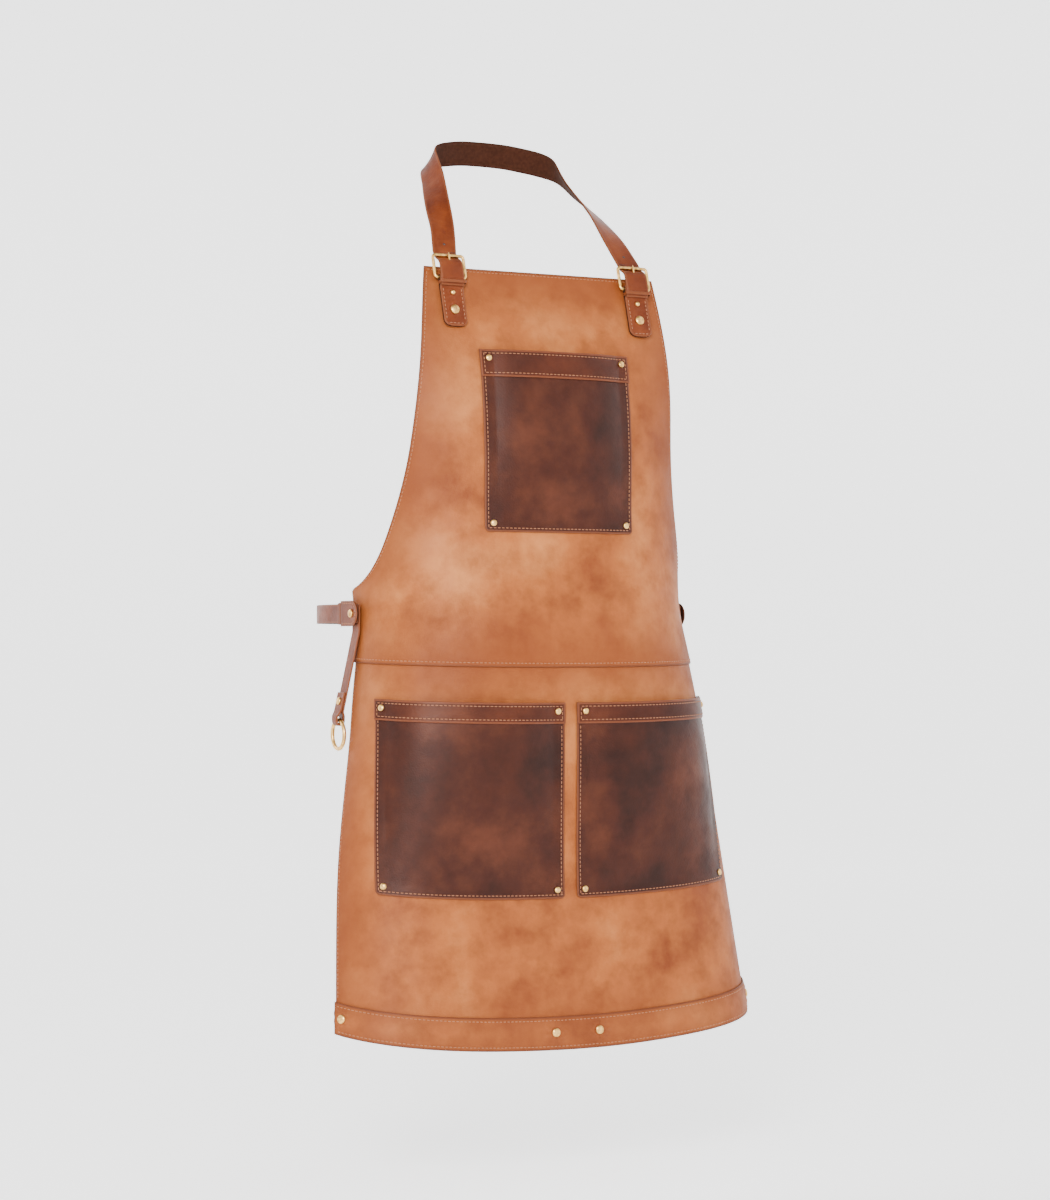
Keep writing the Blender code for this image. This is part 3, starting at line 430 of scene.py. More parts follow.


# The band's darker margin is painted shade, as on the panels
hem_leather = leather_finish("hem_leather", (0.145, 0.031, 0.0060), (0.245, 0.064, 0.013),
                             (0.340, 0.110, 0.028), (0.11, 0.027, 0.008), (0.20, 0.090, 0.038),
                             margin_shade=(0.020, 0.45))
hem_shares = edge_lines(-HEM_HALF_WIDTH, HEM_HALF_WIDTH, 420) / HEM_HALF_WIDTH
hem = leather_sheet("hem_band_leather", hem_shares, edge_lines(0.0, HEM_BAND_HEIGHT, 26), band_place,
                    band_distance)
finish_with(hem, hem_leather, "panel_leather", "apron", "hem_band")
sew("hem_stitches",
    [stitch_row(soft, across * (HEM_HALF_WIDTH - 0.005), np.full(60, level), LAYER)
     for level in (0.0042, HEM_BAND_HEIGHT - 0.0042)], tan_thread, "panel_leather")


def local_frame(place, u, v):
    """Origin, side, inward and up directions of the surface at one place."""
    step = 0.002
    sideways = place(u + step, v, 0.0) - place(u - step, v, 0.0)
    upward = place(u, v + step, 0.0) - place(u, v - step, 0.0)
    side = sideways / np.linalg.norm(sideways)
    inward = np.cross(upward, side)
    inward = inward / np.linalg.norm(inward)
    return np.array((place(u, v, 0.0), side, inward, np.cross(side, inward)))


def turned(name, profile, axes, segments=48):
    """Profile of (radius, depth inward) turned about the frame's inward axis, closed at its ends."""
    profile = np.asarray(profile, float)
    turn = np.linspace(0, 2 * np.pi, segments, endpoint=False)
    ring = axes[1] * np.cos(turn)[:, None] + axes[3] * np.sin(turn)[:, None]
    points = axes[0] + profile[:, None, :1] * ring + profile[:, None, 1:] * axes[2]
    i, j = np.meshgrid(np.arange(len(profile) - 1), np.arange(segments), indexing="ij")
    k = (j + 1) % segments
    quads = np.stack((i * segments + j, i * segments + k, (i + 1) * segments + k,
                      (i + 1) * segments + j), -1).reshape(-1, 4)
    caps = [list(range(segments))[::-1], list((len(profile) - 1) * segments + np.arange(segments))]
    return make_mesh(name, points, [*quads[:, ::-1].tolist(), *(list(map(int, cap)) for cap in caps)])


def brass_finish(name, colour, tarnish, roughness):
    """Turned brass: warm metal with cloudy tarnish, which also varies its gloss."""
    made = bpy.data.materials.new(name)
    made.use_nodes = True
    tree = made.node_tree
    shader = tree.nodes["Principled BSDF"]
    place = node(tree, "TexCoord").outputs["Object"]
    cloud = node(tree, "TexNoise", {"Vector": place, "Scale": 240, "Detail": 5})
    shades = ramp(tree, cloud.outputs["Fac"], (0.35, tarnish), (0.6, colour))
    tree.links.new(shades, shader.inputs["Base Color"])
    gloss = node(tree, "MapRange", {"Value": cloud.outputs["Fac"], "To Min": roughness + 0.18,
                                    "To Max": roughness - 0.05})
    tree.links.new(gloss.outputs["Result"], shader.inputs["Roughness"])
    shader.inputs["Metallic"].default_value = 1.0
    return made


brass = brass_finish("brass", (0.80, 0.49, 0.155), (0.44, 0.24, 0.070), 0.28)
RIM = 0.0005


def domed_profile(radius, depth, dome):
    """Cap from its crown down a quarter ellipse to a rolled rim, then the post and the back washer."""
    a = np.linspace(np.pi / 2, 0, 12)
    height = dome * radius
    crown = np.stack((np.maximum(radius * np.cos(a), 0.00002), -(RIM + 0.0003 + height * np.sin(a))), 1)
    rest = ((radius, -0.0003), (radius * 0.94, -0.00005), (0.0014, -0.00005), (0.0014, depth),
            (radius * 0.85, depth), (radius * 0.85, depth + RIM), (0.00002, depth + RIM + 0.0001))
    return np.concatenate((crown, rest))


for number, along in enumerate(HEM_STUD_PLACES, 1):
    stud = turned(f"hem_stud_dome_{number}", domed_profile(HEM_STUD_RADIUS, LAYER + LEATHER + GAP, 0.42),
                  local_frame(lambda u, v, out: soft(u, v, LAYER + out), along, HEM_STUD_HEIGHT))
    finish_with(stud, brass, "brass", "apron", f"hem_stud_{number}")


# ---------------------------------------------------------------------------
# Pockets. Dark brown patch pockets, sewn and riveted on at their sides and foot, that stand a little
# open. Each has a red-brown band sewn along its mouth, and a brass rivet in each corner.

POCKET_CORNER, POCKET_BULGE, RIVET_INSET, RIVET_RADIUS = 0.005, 0.0095, 0.0095, 0.0036
POCKET_MARGIN = RIVET_INSET + RIVET_RADIUS + 0.0008
CHEST_WIDTH, CHEST_HEIGHT, CHEST_DROP, CHEST_BAND = 0.183, 0.199, 0.091, 0.030
HIP_WIDTH, HIP_HEIGHT, HIP_DROP, HIP_SPLIT, HIP_BAND = 0.216, 0.213, 0.038, 0.015, 0.023

dark_leather = leather_finish("pocket_leather", (0.018, 0.0034, 0.0011), (0.036, 0.0070, 0.0022),
                              (0.066, 0.0160, 0.0060), (0.110, 0.030, 0.011), (0.10, 0.045, 0.024),
                              0.46, 0.4, 11)
band_leather = leather_finish("band_leather", (0.030, 0.0052, 0.0014), (0.054, 0.0105, 0.0030),
                              (0.084, 0.0200, 0.0064), (0.120, 0.032, 0.012), (0.10, 0.045, 0.024),
                              0.44, 0.4, 11)


def pocket_surface(middle, top, width, height, base):
    """Outer face of a pocket at (from its middle, share of its height, out): it lies flat in a margin
    round its sides and foot, and bulges by a cubic across and a parabola up to its mouth."""
    inner = width / 2 - POCKET_MARGIN

    def place(u, v, out):
        corner = np.clip(np.abs(u) - (width / 2 - POCKET_CORNER), 0.0, POCKET_CORNER)
        low = top - height + POCKET_CORNER - np.sqrt(POCKET_CORNER**2 - corner**2)
        level = low + (top - low) * v
        side = 1 - np.clip(np.abs(u) / inner, 0.0, 1.0) ** 3
        rise = np.clip((level - top + height - POCKET_MARGIN) / (height - POCKET_MARGIN), 0.0, 1.0)
        return soft(middle + u, level, base + LAYER + POCKET_BULGE * side * rise * (2 - rise) + out)

    return place


def pocket(name, middle, top, width, height, band, base):
    """Pocket leather, mouth band, stitches and corner rivets."""
    place = pocket_surface(middle, top, width, height, base)

    def distance(u, v):
        return np.minimum(width / 2 - np.abs(u), np.minimum(v, 1 - v) * height)

    def band_gap(u, v):
        return np.minimum(width / 2 - np.abs(u), np.minimum(v - 1 + band / height, 1 - v) * height)

    columns = edge_lines(-width / 2, width / 2, 80)
    body = leather_sheet(name + "_leather", columns, edge_lines(0, height, 80) / height, place, distance)
    finish_with(body, dark_leather, "pocket_leather", "apron", name)
    strip = leather_sheet(name + "_band_leather", columns, edge_lines(height - band, height, 14) / height,
                          lambda u, v, out: place(u, v, LAYER + out), band_gap)
    finish_with(strip, band_leather, "band_leather", "apron", name + "_band")
    edge, foot = width / 2 - 0.0042, 0.0042 / height
    mouth, seam = 1 - 0.0042 / height, 1 - (band - 0.0042) / height
    sides = np.array((-edge, edge))
    rows = [stitch_row(place, (x, x), (foot, 1 - band / height), 0.0) for x in sides]
    rows.append(stitch_row(place, sides, (foot, foot), 0.0))
    rows += [stitch_row(place, np.linspace(-edge, edge, 40), np.full(40, v), LAYER) for v in (mouth, seam)]
    rows += [stitch_row(place, (x, x), (seam, mouth), LAYER) for x in sides]
    sew(name + "_stitches", rows, brown_thread, "pocket_leather")
    for end, share, layers in (("upper", 1 - RIVET_INSET / height, 2), ("lower", RIVET_INSET / height, 1)):
        for hand, x in (("left", RIVET_INSET - width / 2), ("right", width / 2 - RIVET_INSET)):
            axes = local_frame(lambda u, v, out: soft(u, v, base + layers * LAYER + out), middle + x,
                               top - height + share * height)
            cap = turned(f"{name}_cap_{end}_{hand}",
                         domed_profile(RIVET_RADIUS, layers * LAYER + LEATHER + GAP, 0.5), axes)
            finish_with(cap, brass, "brass", "apron", f"{name}_rivet_{end}_{hand}")


pocket("chest_pocket", 0.0, LENGTH - CHEST_DROP, CHEST_WIDTH, CHEST_HEIGHT, CHEST_BAND, LAYER)
for side, name in ((-1, "left_hip_pocket"), (1, "right_hip_pocket")):
    pocket(name, side * (HIP_WIDTH + HIP_SPLIT) / 2, SEAM_HEIGHT - HIP_DROP, HIP_WIDTH, HIP_HEIGHT,
           HIP_BAND, 0.0)


# ---------------------------------------------------------------------------
# Buckle tabs. A strip of brown bridle leather is folded over each buckle's heel bar, sewn round its
# edge and riveted to the bib. A small stud closes the fold under the strap's keeper.

STRAP_WIDTH, TAB_PLACE, BAR_DROP, TAB_LENGTH = 0.028, 0.1155, 0.0145, 0.056
TAB_LEATHER, BUCKLE_WIRE, FIT, BUCKLE_HEIGHT = 0.0018, 0.0018, 0.0003, 0.026
FOLD_RADIUS, FOLD_CLOSED = BUCKLE_WIRE + FIT + TAB_LEATHER / 2, 0.014
RIVET_DROP, STUD_DROP, TAB_CORNER, TAB_STITCH_INSET = 0.037, 0.0174, 0.008, 0.0031
strap_leather = leather_finish("strap_leather", (0.070, 0.0110, 0.0018), (0.120, 0.0220, 0.0036),
                               (0.175, 0.0380, 0.0075), (0.140, 0.036, 0.011), (0.035, 0.010, 0.004),
                               0.42, 0.3, 16)


def bar_axes(side):
    """Frame on a heel bar's axis, from the middle of its buckle frame's box: side along X, inward, up
    the tab, which leans as the bib's top does."""
    low, high = (np.array(corner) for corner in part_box(("left" if side < 0 else "right") + "_buckle_frame"))
    level = LENGTH - BAR_DROP
    lean = worn(side * TAB_PLACE, LENGTH, LAYER) - worn(side * TAB_PLACE, level - TAB_LENGTH, LAYER)
    up = np.array((0.0, lean[1], lean[2])) / np.hypot(lean[1], lean[2])
    across = np.array((1.0, 0.0, 0.0))
    middle = (low + high) / 2
    return np.array((middle - up * BUCKLE_HEIGHT / 2, across, np.cross(up, across), up))


def in_axes(axes, points):
    """Points given along a frame's side, inward and up directions, as places."""
    return axes[0] + np.asarray(points, float) @ axes[1:]


def ease(t):
    t = np.clip(t, 0.0, 1.0)
    return t * t * (3 - 2 * t)


def front_layer(z):
    """Middle of the tab's front layer, which leaves the fold and closes on the back one."""
    closed = FOLD_RADIUS - TAB_LEATHER - GAP
    return -FOLD_RADIUS + (closed + FOLD_RADIUS) * ease(-np.asarray(z, float) / FOLD_CLOSED)


def smooth_line(keys, count):
    """Even points along a cubic Hermite curve through the keys, spaced by the root of their chords."""
    keys = np.asarray(keys, float)
    chords = np.linalg.norm(np.diff(keys[:, :3], axis=0), axis=1)
    marks = np.concatenate(([0.0], np.cumsum(np.sqrt(chords))))
    slopes = np.gradient(keys, marks, axis=0)
    fine = np.linspace(0.0, marks[-1], 40 * len(keys))
    i = np.clip(np.searchsorted(marks, fine, side="right") - 1, 0, len(keys) - 2)
    step = (marks[i + 1] - marks[i])[:, None]
    t = (fine - marks[i])[:, None] / step
    line = ((2 * t**3 - 3 * t**2 + 1) * keys[i] + (t**3 - 2 * t**2 + t) * step * slopes[i]
            + (3 * t**2 - 2 * t**3) * keys[i + 1] + (t**3 - t**2) * step * slopes[i + 1])
    run = np.concatenate(([0.0], np.cumsum(np.linalg.norm(np.diff(line[:, :3], axis=0), axis=1))))
    even = np.linspace(0.0, run[-1], count)
    return np.stack([np.interp(even, run, column) for column in line.T], 1)


def strap(name, line, across, widths, thickness, wrap=False):
    """Flat strap along a line: its width lies across, its outer face is on across x tangent, and its
    cut edges are rounded."""
    line = np.asarray(line, float)
    tangent = np.gradient(line, axis=0)
    if wrap:
        tangent = np.roll(line, -1, 0) - np.roll(line, 1, 0)
    tangent /= np.linalg.norm(tangent, axis=1, keepdims=True)
    across = np.broadcast_to(np.asarray(across, float), line.shape)
    across = across - tangent * (across * tangent).sum(1, keepdims=True)
    across /= np.linalg.norm(across, axis=1, keepdims=True)
    normal = np.cross(across, tangent)
    run = np.concatenate(([0.0], np.cumsum(np.linalg.norm(np.diff(line, axis=0), axis=1))))
    from_end = np.minimum(run, run[-1] - run) if not wrap else np.full(len(line), 1.0)
    widths = np.broadcast_to(np.asarray(widths, float), len(line))
    shares = edge_lines(-widths.max() / 2, widths.max() / 2, 10) / (widths.max() / 2)
    rim = np.minimum((1 - np.abs(shares))[None] * widths[:, None] / 2, from_end[:, None] + 0.0003)
    thick = rounded(rim, thickness * 0.45)[..., None] * normal[:, None] * thickness / 2
    middle = line[:, None] + shares[None, :, None] * across[:, None] * widths[:, None, None] / 2
    return shell(name, middle + thick, middle - thick, rim, wrap)


def run_stitches(line, across, normal, offset, lift):
    """Stitches on a strap: its line moved across and out, read at every pitch of its length."""
    track = line + across * offset + normal * lift
    run = np.concatenate(([0.0], np.cumsum(np.linalg.norm(np.diff(track, axis=0), axis=1))))
    at = np.arange(STITCH_PITCH / 2, run[-1], STITCH_PITCH)
    normals = np.broadcast_to(normal, track.shape)
    return [np.stack([np.interp(at, run, c) for c in grid.T], 1)
            for grid in (track, np.gradient(track, axis=0), normals)]


def round_ends(rise, radius):
    """How far a rounded corner takes the edge in, at a height above the end."""
    rise = np.clip(rise, 0.0, radius)
    return radius - np.sqrt(radius**2 - (radius - rise) ** 2)


def tube(name, line, radius, wrap=False, sides=14, taper=None):
    """Round wire along a line, by frames carried from one point to the next; its open ends are
    rounded off by shrinking the last rings."""
    line = np.asarray(line, float)
    tangent = (np.roll(line, -1, 0) - np.roll(line, 1, 0)) if wrap else np.gradient(line, axis=0)
    tangent /= np.linalg.norm(tangent, axis=1, keepdims=True)
    flat = np.linalg.svd(line - line.mean(0))[2][2]
    side = np.cross(tangent, flat)
    side /= np.linalg.norm(side, axis=1, keepdims=True)
    other = np.cross(tangent, side)
    turn = np.linspace(0, 2 * np.pi, sides + 1)[:-1]
    size = np.full(len(line), radius) if taper is None else radius * taper
    ring = side[:, None] * np.cos(turn)[:, None] + other[:, None] * np.sin(turn)[:, None]
    points = line[:, None] + ring * size[:, None, None]
    i, j = np.meshgrid(np.arange(len(line) if wrap else len(line) - 1), np.arange(sides), indexing="ij")
    k, m = (i + 1) % len(line), (j + 1) % sides
    quads = np.stack((i * sides + j, i * sides + m, k * sides + m, k * sides + j), -1).reshape(-1, 4)
    faces = quads.tolist()
    if not wrap:
        faces += [list(range(sides))[::-1], list(range((len(line) - 1) * sides, len(line) * sides))]
    return make_mesh(name, points, faces)


for side, name in ((-1, "left"), (1, "right")):
    axes = bar_axes(side)
    down = np.concatenate((-np.linspace(0, FOLD_CLOSED, 16),
                           -np.linspace(FOLD_CLOSED, TAB_LENGTH - TAB_CORNER, 12)[1:],
                           -TAB_LENGTH + TAB_CORNER * np.cos(np.linspace(0, np.pi / 2, 12))[1:]))
    fold = np.linspace(0.0, np.pi, 24)
    yz = np.concatenate((np.stack((np.full(len(down) - 1, FOLD_RADIUS), down[:0:-1]), 1),
                         FOLD_RADIUS * np.stack((np.cos(fold), np.sin(fold)), 1),
                         np.stack((front_layer(down), down), 1)[1:]))
    line = in_axes(axes, np.insert(yz, 0, 0.0, axis=1))
    widths = STRAP_WIDTH - 2 * round_ends(yz[:, 1] + TAB_LENGTH, TAB_CORNER)
    tab = strap(name + "_tab_leather", line, (-1, 0, 0), widths, TAB_LEATHER)
    finish_with(tab, strap_leather, "strap_leather", "apron", name + "_buckle_tab")
    drop = -np.linspace(0.012, TAB_LENGTH - TAB_STITCH_INSET, 40)
    track = in_axes(axes, np.stack((0 * drop, front_layer(drop) - TAB_LEATHER / 2, drop), 1))
    out = -axes[2]
    edge = STRAP_WIDTH / 2 - TAB_STITCH_INSET
    foot = in_axes(axes, [(x, front_layer(-0.05) - TAB_LEATHER / 2, TAB_STITCH_INSET - TAB_LENGTH)
                          for x in np.linspace(-edge + 0.002, edge - 0.002, 12)])
    sew(name + "_tab_stitches",
        [run_stitches(track[:-3], axes[1], out, x, 0.0) for x in (-edge, edge)]
        + [run_stitches(foot, axes[1], out, 0.0, 0.0)], brown_thread, "strap_leather")
    face = FOLD_RADIUS - 1.5 * TAB_LEATHER - GAP
    for kind, drop, radius, dome in (("rivet", RIVET_DROP, 0.0053, 0.4), ("stud", STUD_DROP, 0.0028, 0.75)):
        place = axes.copy()
        place[0] = in_axes(axes, (0.0, face, -drop))
        through = FOLD_RADIUS * 2 + LEATHER + 0.0006
        cap = turned(f"{name}_tab_{kind}_dome", domed_profile(radius, through, dome), place)
        finish_with(cap, brass, "brass", "apron", f"{name}_tab_{kind}")


# ---------------------------------------------------------------------------
# Buckles. Brass wire bent to a square frame, with a thin prong that turns on its lower bar, and a
# narrow leather keeper under it that holds down the strap's end.

KEEPER_DROP, KEEPER_HEIGHT, KEEPER_THICKNESS, STRAP_THICKNESS = 0.0064, 0.0036, 0.0010, 0.0022
PRONG_WIRE, SIDE_ROOM, BUCKLE_CORNER, KEEPER_BEND = 0.0009, 0.0026, 0.0032, 0.0012


def rounded_ring(half_u, half_v, bend, count):
    """Points (u, v) round a rectangle whose corners are quarter circles of the given bend."""
    quarter = np.linspace(0, np.pi / 2, count)
    corners = [((half_u - bend) * u + bend * np.cos(quarter + q * np.pi / 2),
                (half_v - bend) * v + bend * np.sin(quarter + q * np.pi / 2))
               for q, (u, v) in enumerate(((1, 1), (-1, 1), (-1, -1), (1, -1)))]
    return np.concatenate([np.stack(corner, 1) for corner in corners])


for side, name in ((-1, "left"), (1, "right")):
    axes = bar_axes(side)
    half = STRAP_WIDTH / 2 + SIDE_ROOM + BUCKLE_WIRE
    path = rounded_ring(half, BUCKLE_HEIGHT / 2, BUCKLE_CORNER, 10) + (0, BUCKLE_HEIGHT / 2)
    path = np.insert(path, 1, 0.0, 1)
    wire = tube(name + "_frame_wire", in_axes(axes, path), BUCKLE_WIRE, True, 18)
    finish_with(wire, brass, "brass", "apron", name + "_buckle_frame")
    eye = BUCKLE_WIRE + FIT + PRONG_WIRE
    hook = np.linspace(0, 1.33 * np.pi, 24)
    rod = np.array([(0.0, -eye, z) for z in np.linspace(BUCKLE_HEIGHT + 0.0028, 0.001, 22)])
    curl = np.stack((0 * hook, -eye * np.cos(hook), -eye * np.sin(hook)), 1)
    taper = np.ones(46)
    taper[:4] = (0.25, 0.7, 0.92, 1.0)
    bent = in_axes(axes, np.concatenate((rod, curl)))
    prong = tube(name + "_prong_rod", bent, PRONG_WIRE, False, 14, taper)
    finish_with(prong, brass, "brass", "apron", name + "_buckle_prong")
    wide = STRAP_WIDTH / 2 + 2 * FIT + KEEPER_THICKNESS / 2
    back = FOLD_RADIUS - TAB_LEATHER / 2 - FIT - KEEPER_THICKNESS / 2
    top = float(front_layer(KEEPER_HEIGHT / 2 - KEEPER_DROP)) - TAB_LEATHER / 2 - GAP - STRAP_THICKNESS
    front = top - 2 * FIT - KEEPER_THICKNESS / 2
    ring = rounded_ring(wide, (back - front) / 2, KEEPER_BEND, 10) + (0, (back + front) / 2)
    ring = in_axes(axes, np.insert(ring, 2, -KEEPER_DROP, 1))
    keeper = strap(name + "_keeper_leather", ring, -axes[3], KEEPER_HEIGHT, KEEPER_THICKNESS, True)
    finish_with(keeper, strap_leather, "strap_leather", "apron", name + "_buckle_keeper")


# ---------------------------------------------------------------------------
# Neck strap. One band of brown bridle leather, very dark on its back face, runs from one buckle round the
# # nape to the other. Each end lies over the heel bar and behind the top bar, and bends above it.

STRAP_END_DROP, FLEX_RISE, FLEX_SPREAD = 0.0100, 0.0060, 0.0030
NECK_POINTS = np.array((
    (0.1080, 0.036, 0.058), (0.1006, 0.063, 0.088), (0.0883, 0.100, 0.122),
    (0.0770, 0.130, 0.151), (0.0400, 0.148, 0.163), (0.0000, 0.154, 0.166)))
NECK_ACROSS = np.array((
    (1.00, -0.12, 0.02), (0.88, -0.42, 0.20), (0.70, -0.52, 0.50),
    (0.40, -0.30, 0.86), (0.10, -0.22, 0.98), (0.00, -0.22, 1.00)))

lie = TAB_LEATHER / 2 + GAP + STRAP_THICKNESS / 2
over = FOLD_RADIUS + lie
behind = BUCKLE_WIRE + STRAP_THICKNESS / 2 + 2 * FIT
tip = np.linspace(-STRAP_END_DROP, -0.002, 6)
end_path = [*zip(front_layer(tip) - lie, tip), (-over, 0.002), (-over + 0.0001, 0.009),
            (-over + 0.0007, 0.0155), (-over * 0.42, BUCKLE_HEIGHT - 0.0062),
            (behind * 0.7, BUCKLE_HEIGHT - 0.0018), (behind * 1.55, BUCKLE_HEIGHT + 0.0035),
            (behind * 1.9, BUCKLE_HEIGHT + FLEX_RISE)]
ends = {side: in_axes(bar_axes(side), [(0.0, y, z) for y, z in end_path]) for side in (-1, 1)}
bar = bar_axes(-1)[0]
half = np.concatenate((NECK_POINTS * (-1, 1, 1) + (0, bar[1], bar[2]), NECK_ACROSS), 1)
flip = np.array((-1, 1, 1, -1, 1, 1))
mirrored = (half * flip)[-2::-1]
first = [(*place, 1.0, 0.0, 0.0) for place in ends[-1]]
last = [(*place, -1.0, 0.0, 0.0) for place in ends[1][::-1]]
loop = smooth_line([first[-1], *half, *mirrored, last[0]], 150)
left = smooth_line(first, 50)
right = smooth_line(last, 50)
neck_line = np.concatenate((left[:-1], loop, right[1:]))
neck = strap("neck_strap_leather", neck_line[:, :3], neck_line[:, 3:], STRAP_WIDTH, STRAP_THICKNESS)
neck.data.materials.append(strap_leather)
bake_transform(neck)
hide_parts("neck_strap", "left_strap_end", "right_strap_end")

# Each end of the strap has one small punched hole showing above the buckle's top bar. It is not cut: a thin
# # near-black disc on the strap's face stands for it, painted shade of the hole's inside.
HOLE_RADIUS, HOLE_RISE = 0.0016, 0.012
# Near-black finish of the disc: painted shade inside the hole
punched = thread_finish("punched_edge", (0.016, 0.005, 0.002))
rise = np.concatenate(([0.0], np.cumsum(np.linalg.norm(np.diff(loop[:, :3], axis=0), axis=1))))
for name, run in (("left", HOLE_RISE), ("right", rise[-1] - HOLE_RISE)):
    step = 0.001
    spot, ahead = (np.array([np.interp(at, rise, c) for c in loop.T]) for at in (run, run + step))
    tangent = (ahead - spot)[:3] / np.linalg.norm((ahead - spot)[:3])
    outward = np.cross(spot[3:], tangent)
    outward = outward / np.linalg.norm(outward)
    on_face = spot[:3] + outward * STRAP_THICKNESS / 2
    axes = np.array((on_face, np.cross(outward, tangent), -outward, tangent))
    hole = turned(name + "_punched_hole", ((0.00002, -0.00004), (HOLE_RADIUS, -0.00004),
                                          (HOLE_RADIUS, 0.0003), (0.00002, 0.0003)), axes, 24)
    finish_with(hole, punched, "strap_leather", "neck_loop")


# ---------------------------------------------------------------------------
# Waist belt. A narrow brown strap runs round the wearer's back. Each end lies under a short tab with
# a rounded nose, held by a brass rivet through the bib's side, and a keeper loop slides behind it.

WAIST_TAB_WIDTH, WAIST_TAB_FRONT, WAIST_TAB_BACK, WAIST_WIDTH = 0.028, 0.014, 0.028, 0.021
STRAIGHT, LOOP_DEPTH, SQUARENESS = 0.050, 0.150, 0.72
WAIST_RIVET_RADIUS, WAIST_RIVET_DEPTH, WAIST_KEEPER_LEATHER = 0.0046, 0.0105, 0.0010
belt_joint = next(j for j in frame["joints"] if j["name"] == "waist_belt_tilt")
rivet_y, rivet_z = belt_joint["pos_m"][1:]
belt_x = {}
for side, name in ((-1, "left"), (1, "right")):
    low, high = (np.array(c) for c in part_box(name + "_waist_tab"))
    tab_x = (low[0] + high[0]) / 2
    belt_x[side] = tab_x - side * (STRAP_THICKNESS + GAP)
    radius = WAIST_TAB_WIDTH / 2
    nose = -WAIST_TAB_FRONT + radius * (1 - np.cos(np.linspace(0.06, np.pi / 2, 18)))
    along = np.concatenate((nose, np.linspace(nose[-1] + 0.001, WAIST_TAB_BACK, 24)))
    widths = 2 * np.sqrt(radius**2 - np.clip(radius - (along + WAIST_TAB_FRONT), 0, radius) ** 2)
    line = np.stack((np.full(len(along), tab_x), rivet_y + along, np.full(len(along), rivet_z)), 1)
    tab = strap(name + "_waist_tab_leather", line, (0, 0, -float(side)), widths, STRAP_THICKNESS)
    finish_with(tab, strap_leather, "strap_leather", "waist_belt", name + "_waist_tab")
    out = np.array((side, 0.0, 0.0))
    edge = WAIST_TAB_WIDTH / 2 - 0.003
    flat = np.stack((np.full(30, tab_x), rivet_y + np.linspace(0.0, WAIST_TAB_BACK - 0.003, 30),
                     np.full(30, rivet_z)), 1)
    bow = np.linspace(-np.pi / 2, np.pi / 2, 40)
    arc = np.stack((np.full(40, tab_x), rivet_y - edge * np.cos(bow), rivet_z + edge * np.sin(bow)), 1)
    upright = np.array((0.0, 0.0, 1.0))
    face = STRAP_THICKNESS / 2
    sew(name + "_waist_tab_stitches",
        [run_stitches(flat, upright, out, z, face) for z in (-edge, edge)]
        + [run_stitches(arc, upright, out, 0.0, face)], brown_thread, "strap_leather", "waist_belt")
    place = np.array(((tab_x + side * face, rivet_y, rivet_z), (0, side, 0), (-side, 0, 0), (0, 0, 1.0)))
    profile = domed_profile(WAIST_RIVET_RADIUS, WAIST_RIVET_DEPTH, 0.5)
    cap = turned(name + "_waist_rivet_dome", profile, place)
    finish_with(cap, brass, "brass", "apron", name + "_waist_rivet")

angles = np.linspace(0.0, np.pi, 161)
middle, half = (belt_x[-1] + belt_x[1]) / 2, (belt_x[1] - belt_x[-1]) / 2
start = np.linspace(-0.009, 0.047, 30)
bend_x = middle - half * np.sign(np.cos(angles)) * np.abs(np.cos(angles)) ** SQUARENESS
bend_y = rivet_y + STRAIGHT + LOOP_DEPTH * np.sin(angles) ** SQUARENESS
xs = np.concatenate((np.full(30, belt_x[-1]), bend_x, np.full(30, belt_x[1])))
ys = np.concatenate((rivet_y + start, bend_y, (rivet_y + start)[::-1]))
line = np.stack((xs, ys, np.full(len(xs), rivet_z)), 1)
belt = strap("waist_belt_leather", line, (0, 0, 1.0), WAIST_WIDTH, STRAP_THICKNESS)
finish_with(belt, strap_leather, "strap_leather", "waist_belt", "waist_strap")

for side, name in ((-1, "left"), (1, "right")):
    low, high = (np.array(c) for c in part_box(name + "_waist_keeper"))
    middle, half_size = (low + high) / 2, (high - low) / 2 - WAIST_KEEPER_LEATHER / 2
    ring = rounded_ring(half_size[0], half_size[2], WAIST_KEEPER_LEATHER, 8)
    ring = np.insert(ring, 1, 0.0, 1) + middle
    keeper = strap(name + "_waist_keeper_leather", ring, (0, 1.0, 0), high[1] - low[1],
                   WAIST_KEEPER_LEATHER, True)
    finish_with(keeper, strap_leather, "strap_leather", name + "_keeper", name + "_waist_keeper")


# ---------------------------------------------------------------------------
# Towel strap. A narrow strap hangs from the left waist rivet; its end is folded up through a brass
# ring and riveted to itself, so that a towel can hang there.

TOWEL_WIDTH, TOWEL_NARROW, TOWEL_DROP, TOWEL_BEND, FOLD_RISE = 0.018, 0.012, 0.116, 0.020, 0.030
FLARE = np.radians(12.5)
RING_RADIUS, RING_WIRE, TOWEL_RIVET_RADIUS = 0.0157, 0.0022, 0.0042
towel_joint = next(j for j in frame["joints"] if j["name"] == "towel_strap_swing")
hook = np.array((towel_joint["pos_m"], (0, -1, 0), (1, 0, 0), (0, 0, 1)), float)
out, slope = STRAP_THICKNESS / 2, np.tan(FLARE)
wall, hang = RING_WIRE + 3 * FIT + STRAP_THICKNESS / 2, -TOWEL_DROP
ring_out, closed = -out - slope * (TOWEL_DROP - TOWEL_BEND), hang + 0.0125
doubled = STRAP_THICKNESS + GAP


def hanging(z):
    """How far out the strap lies at a height: flat at the rivet, then flared out to the ring."""
    return -out + slope * np.minimum(0.0, np.asarray(z, float) + TOWEL_BEND)


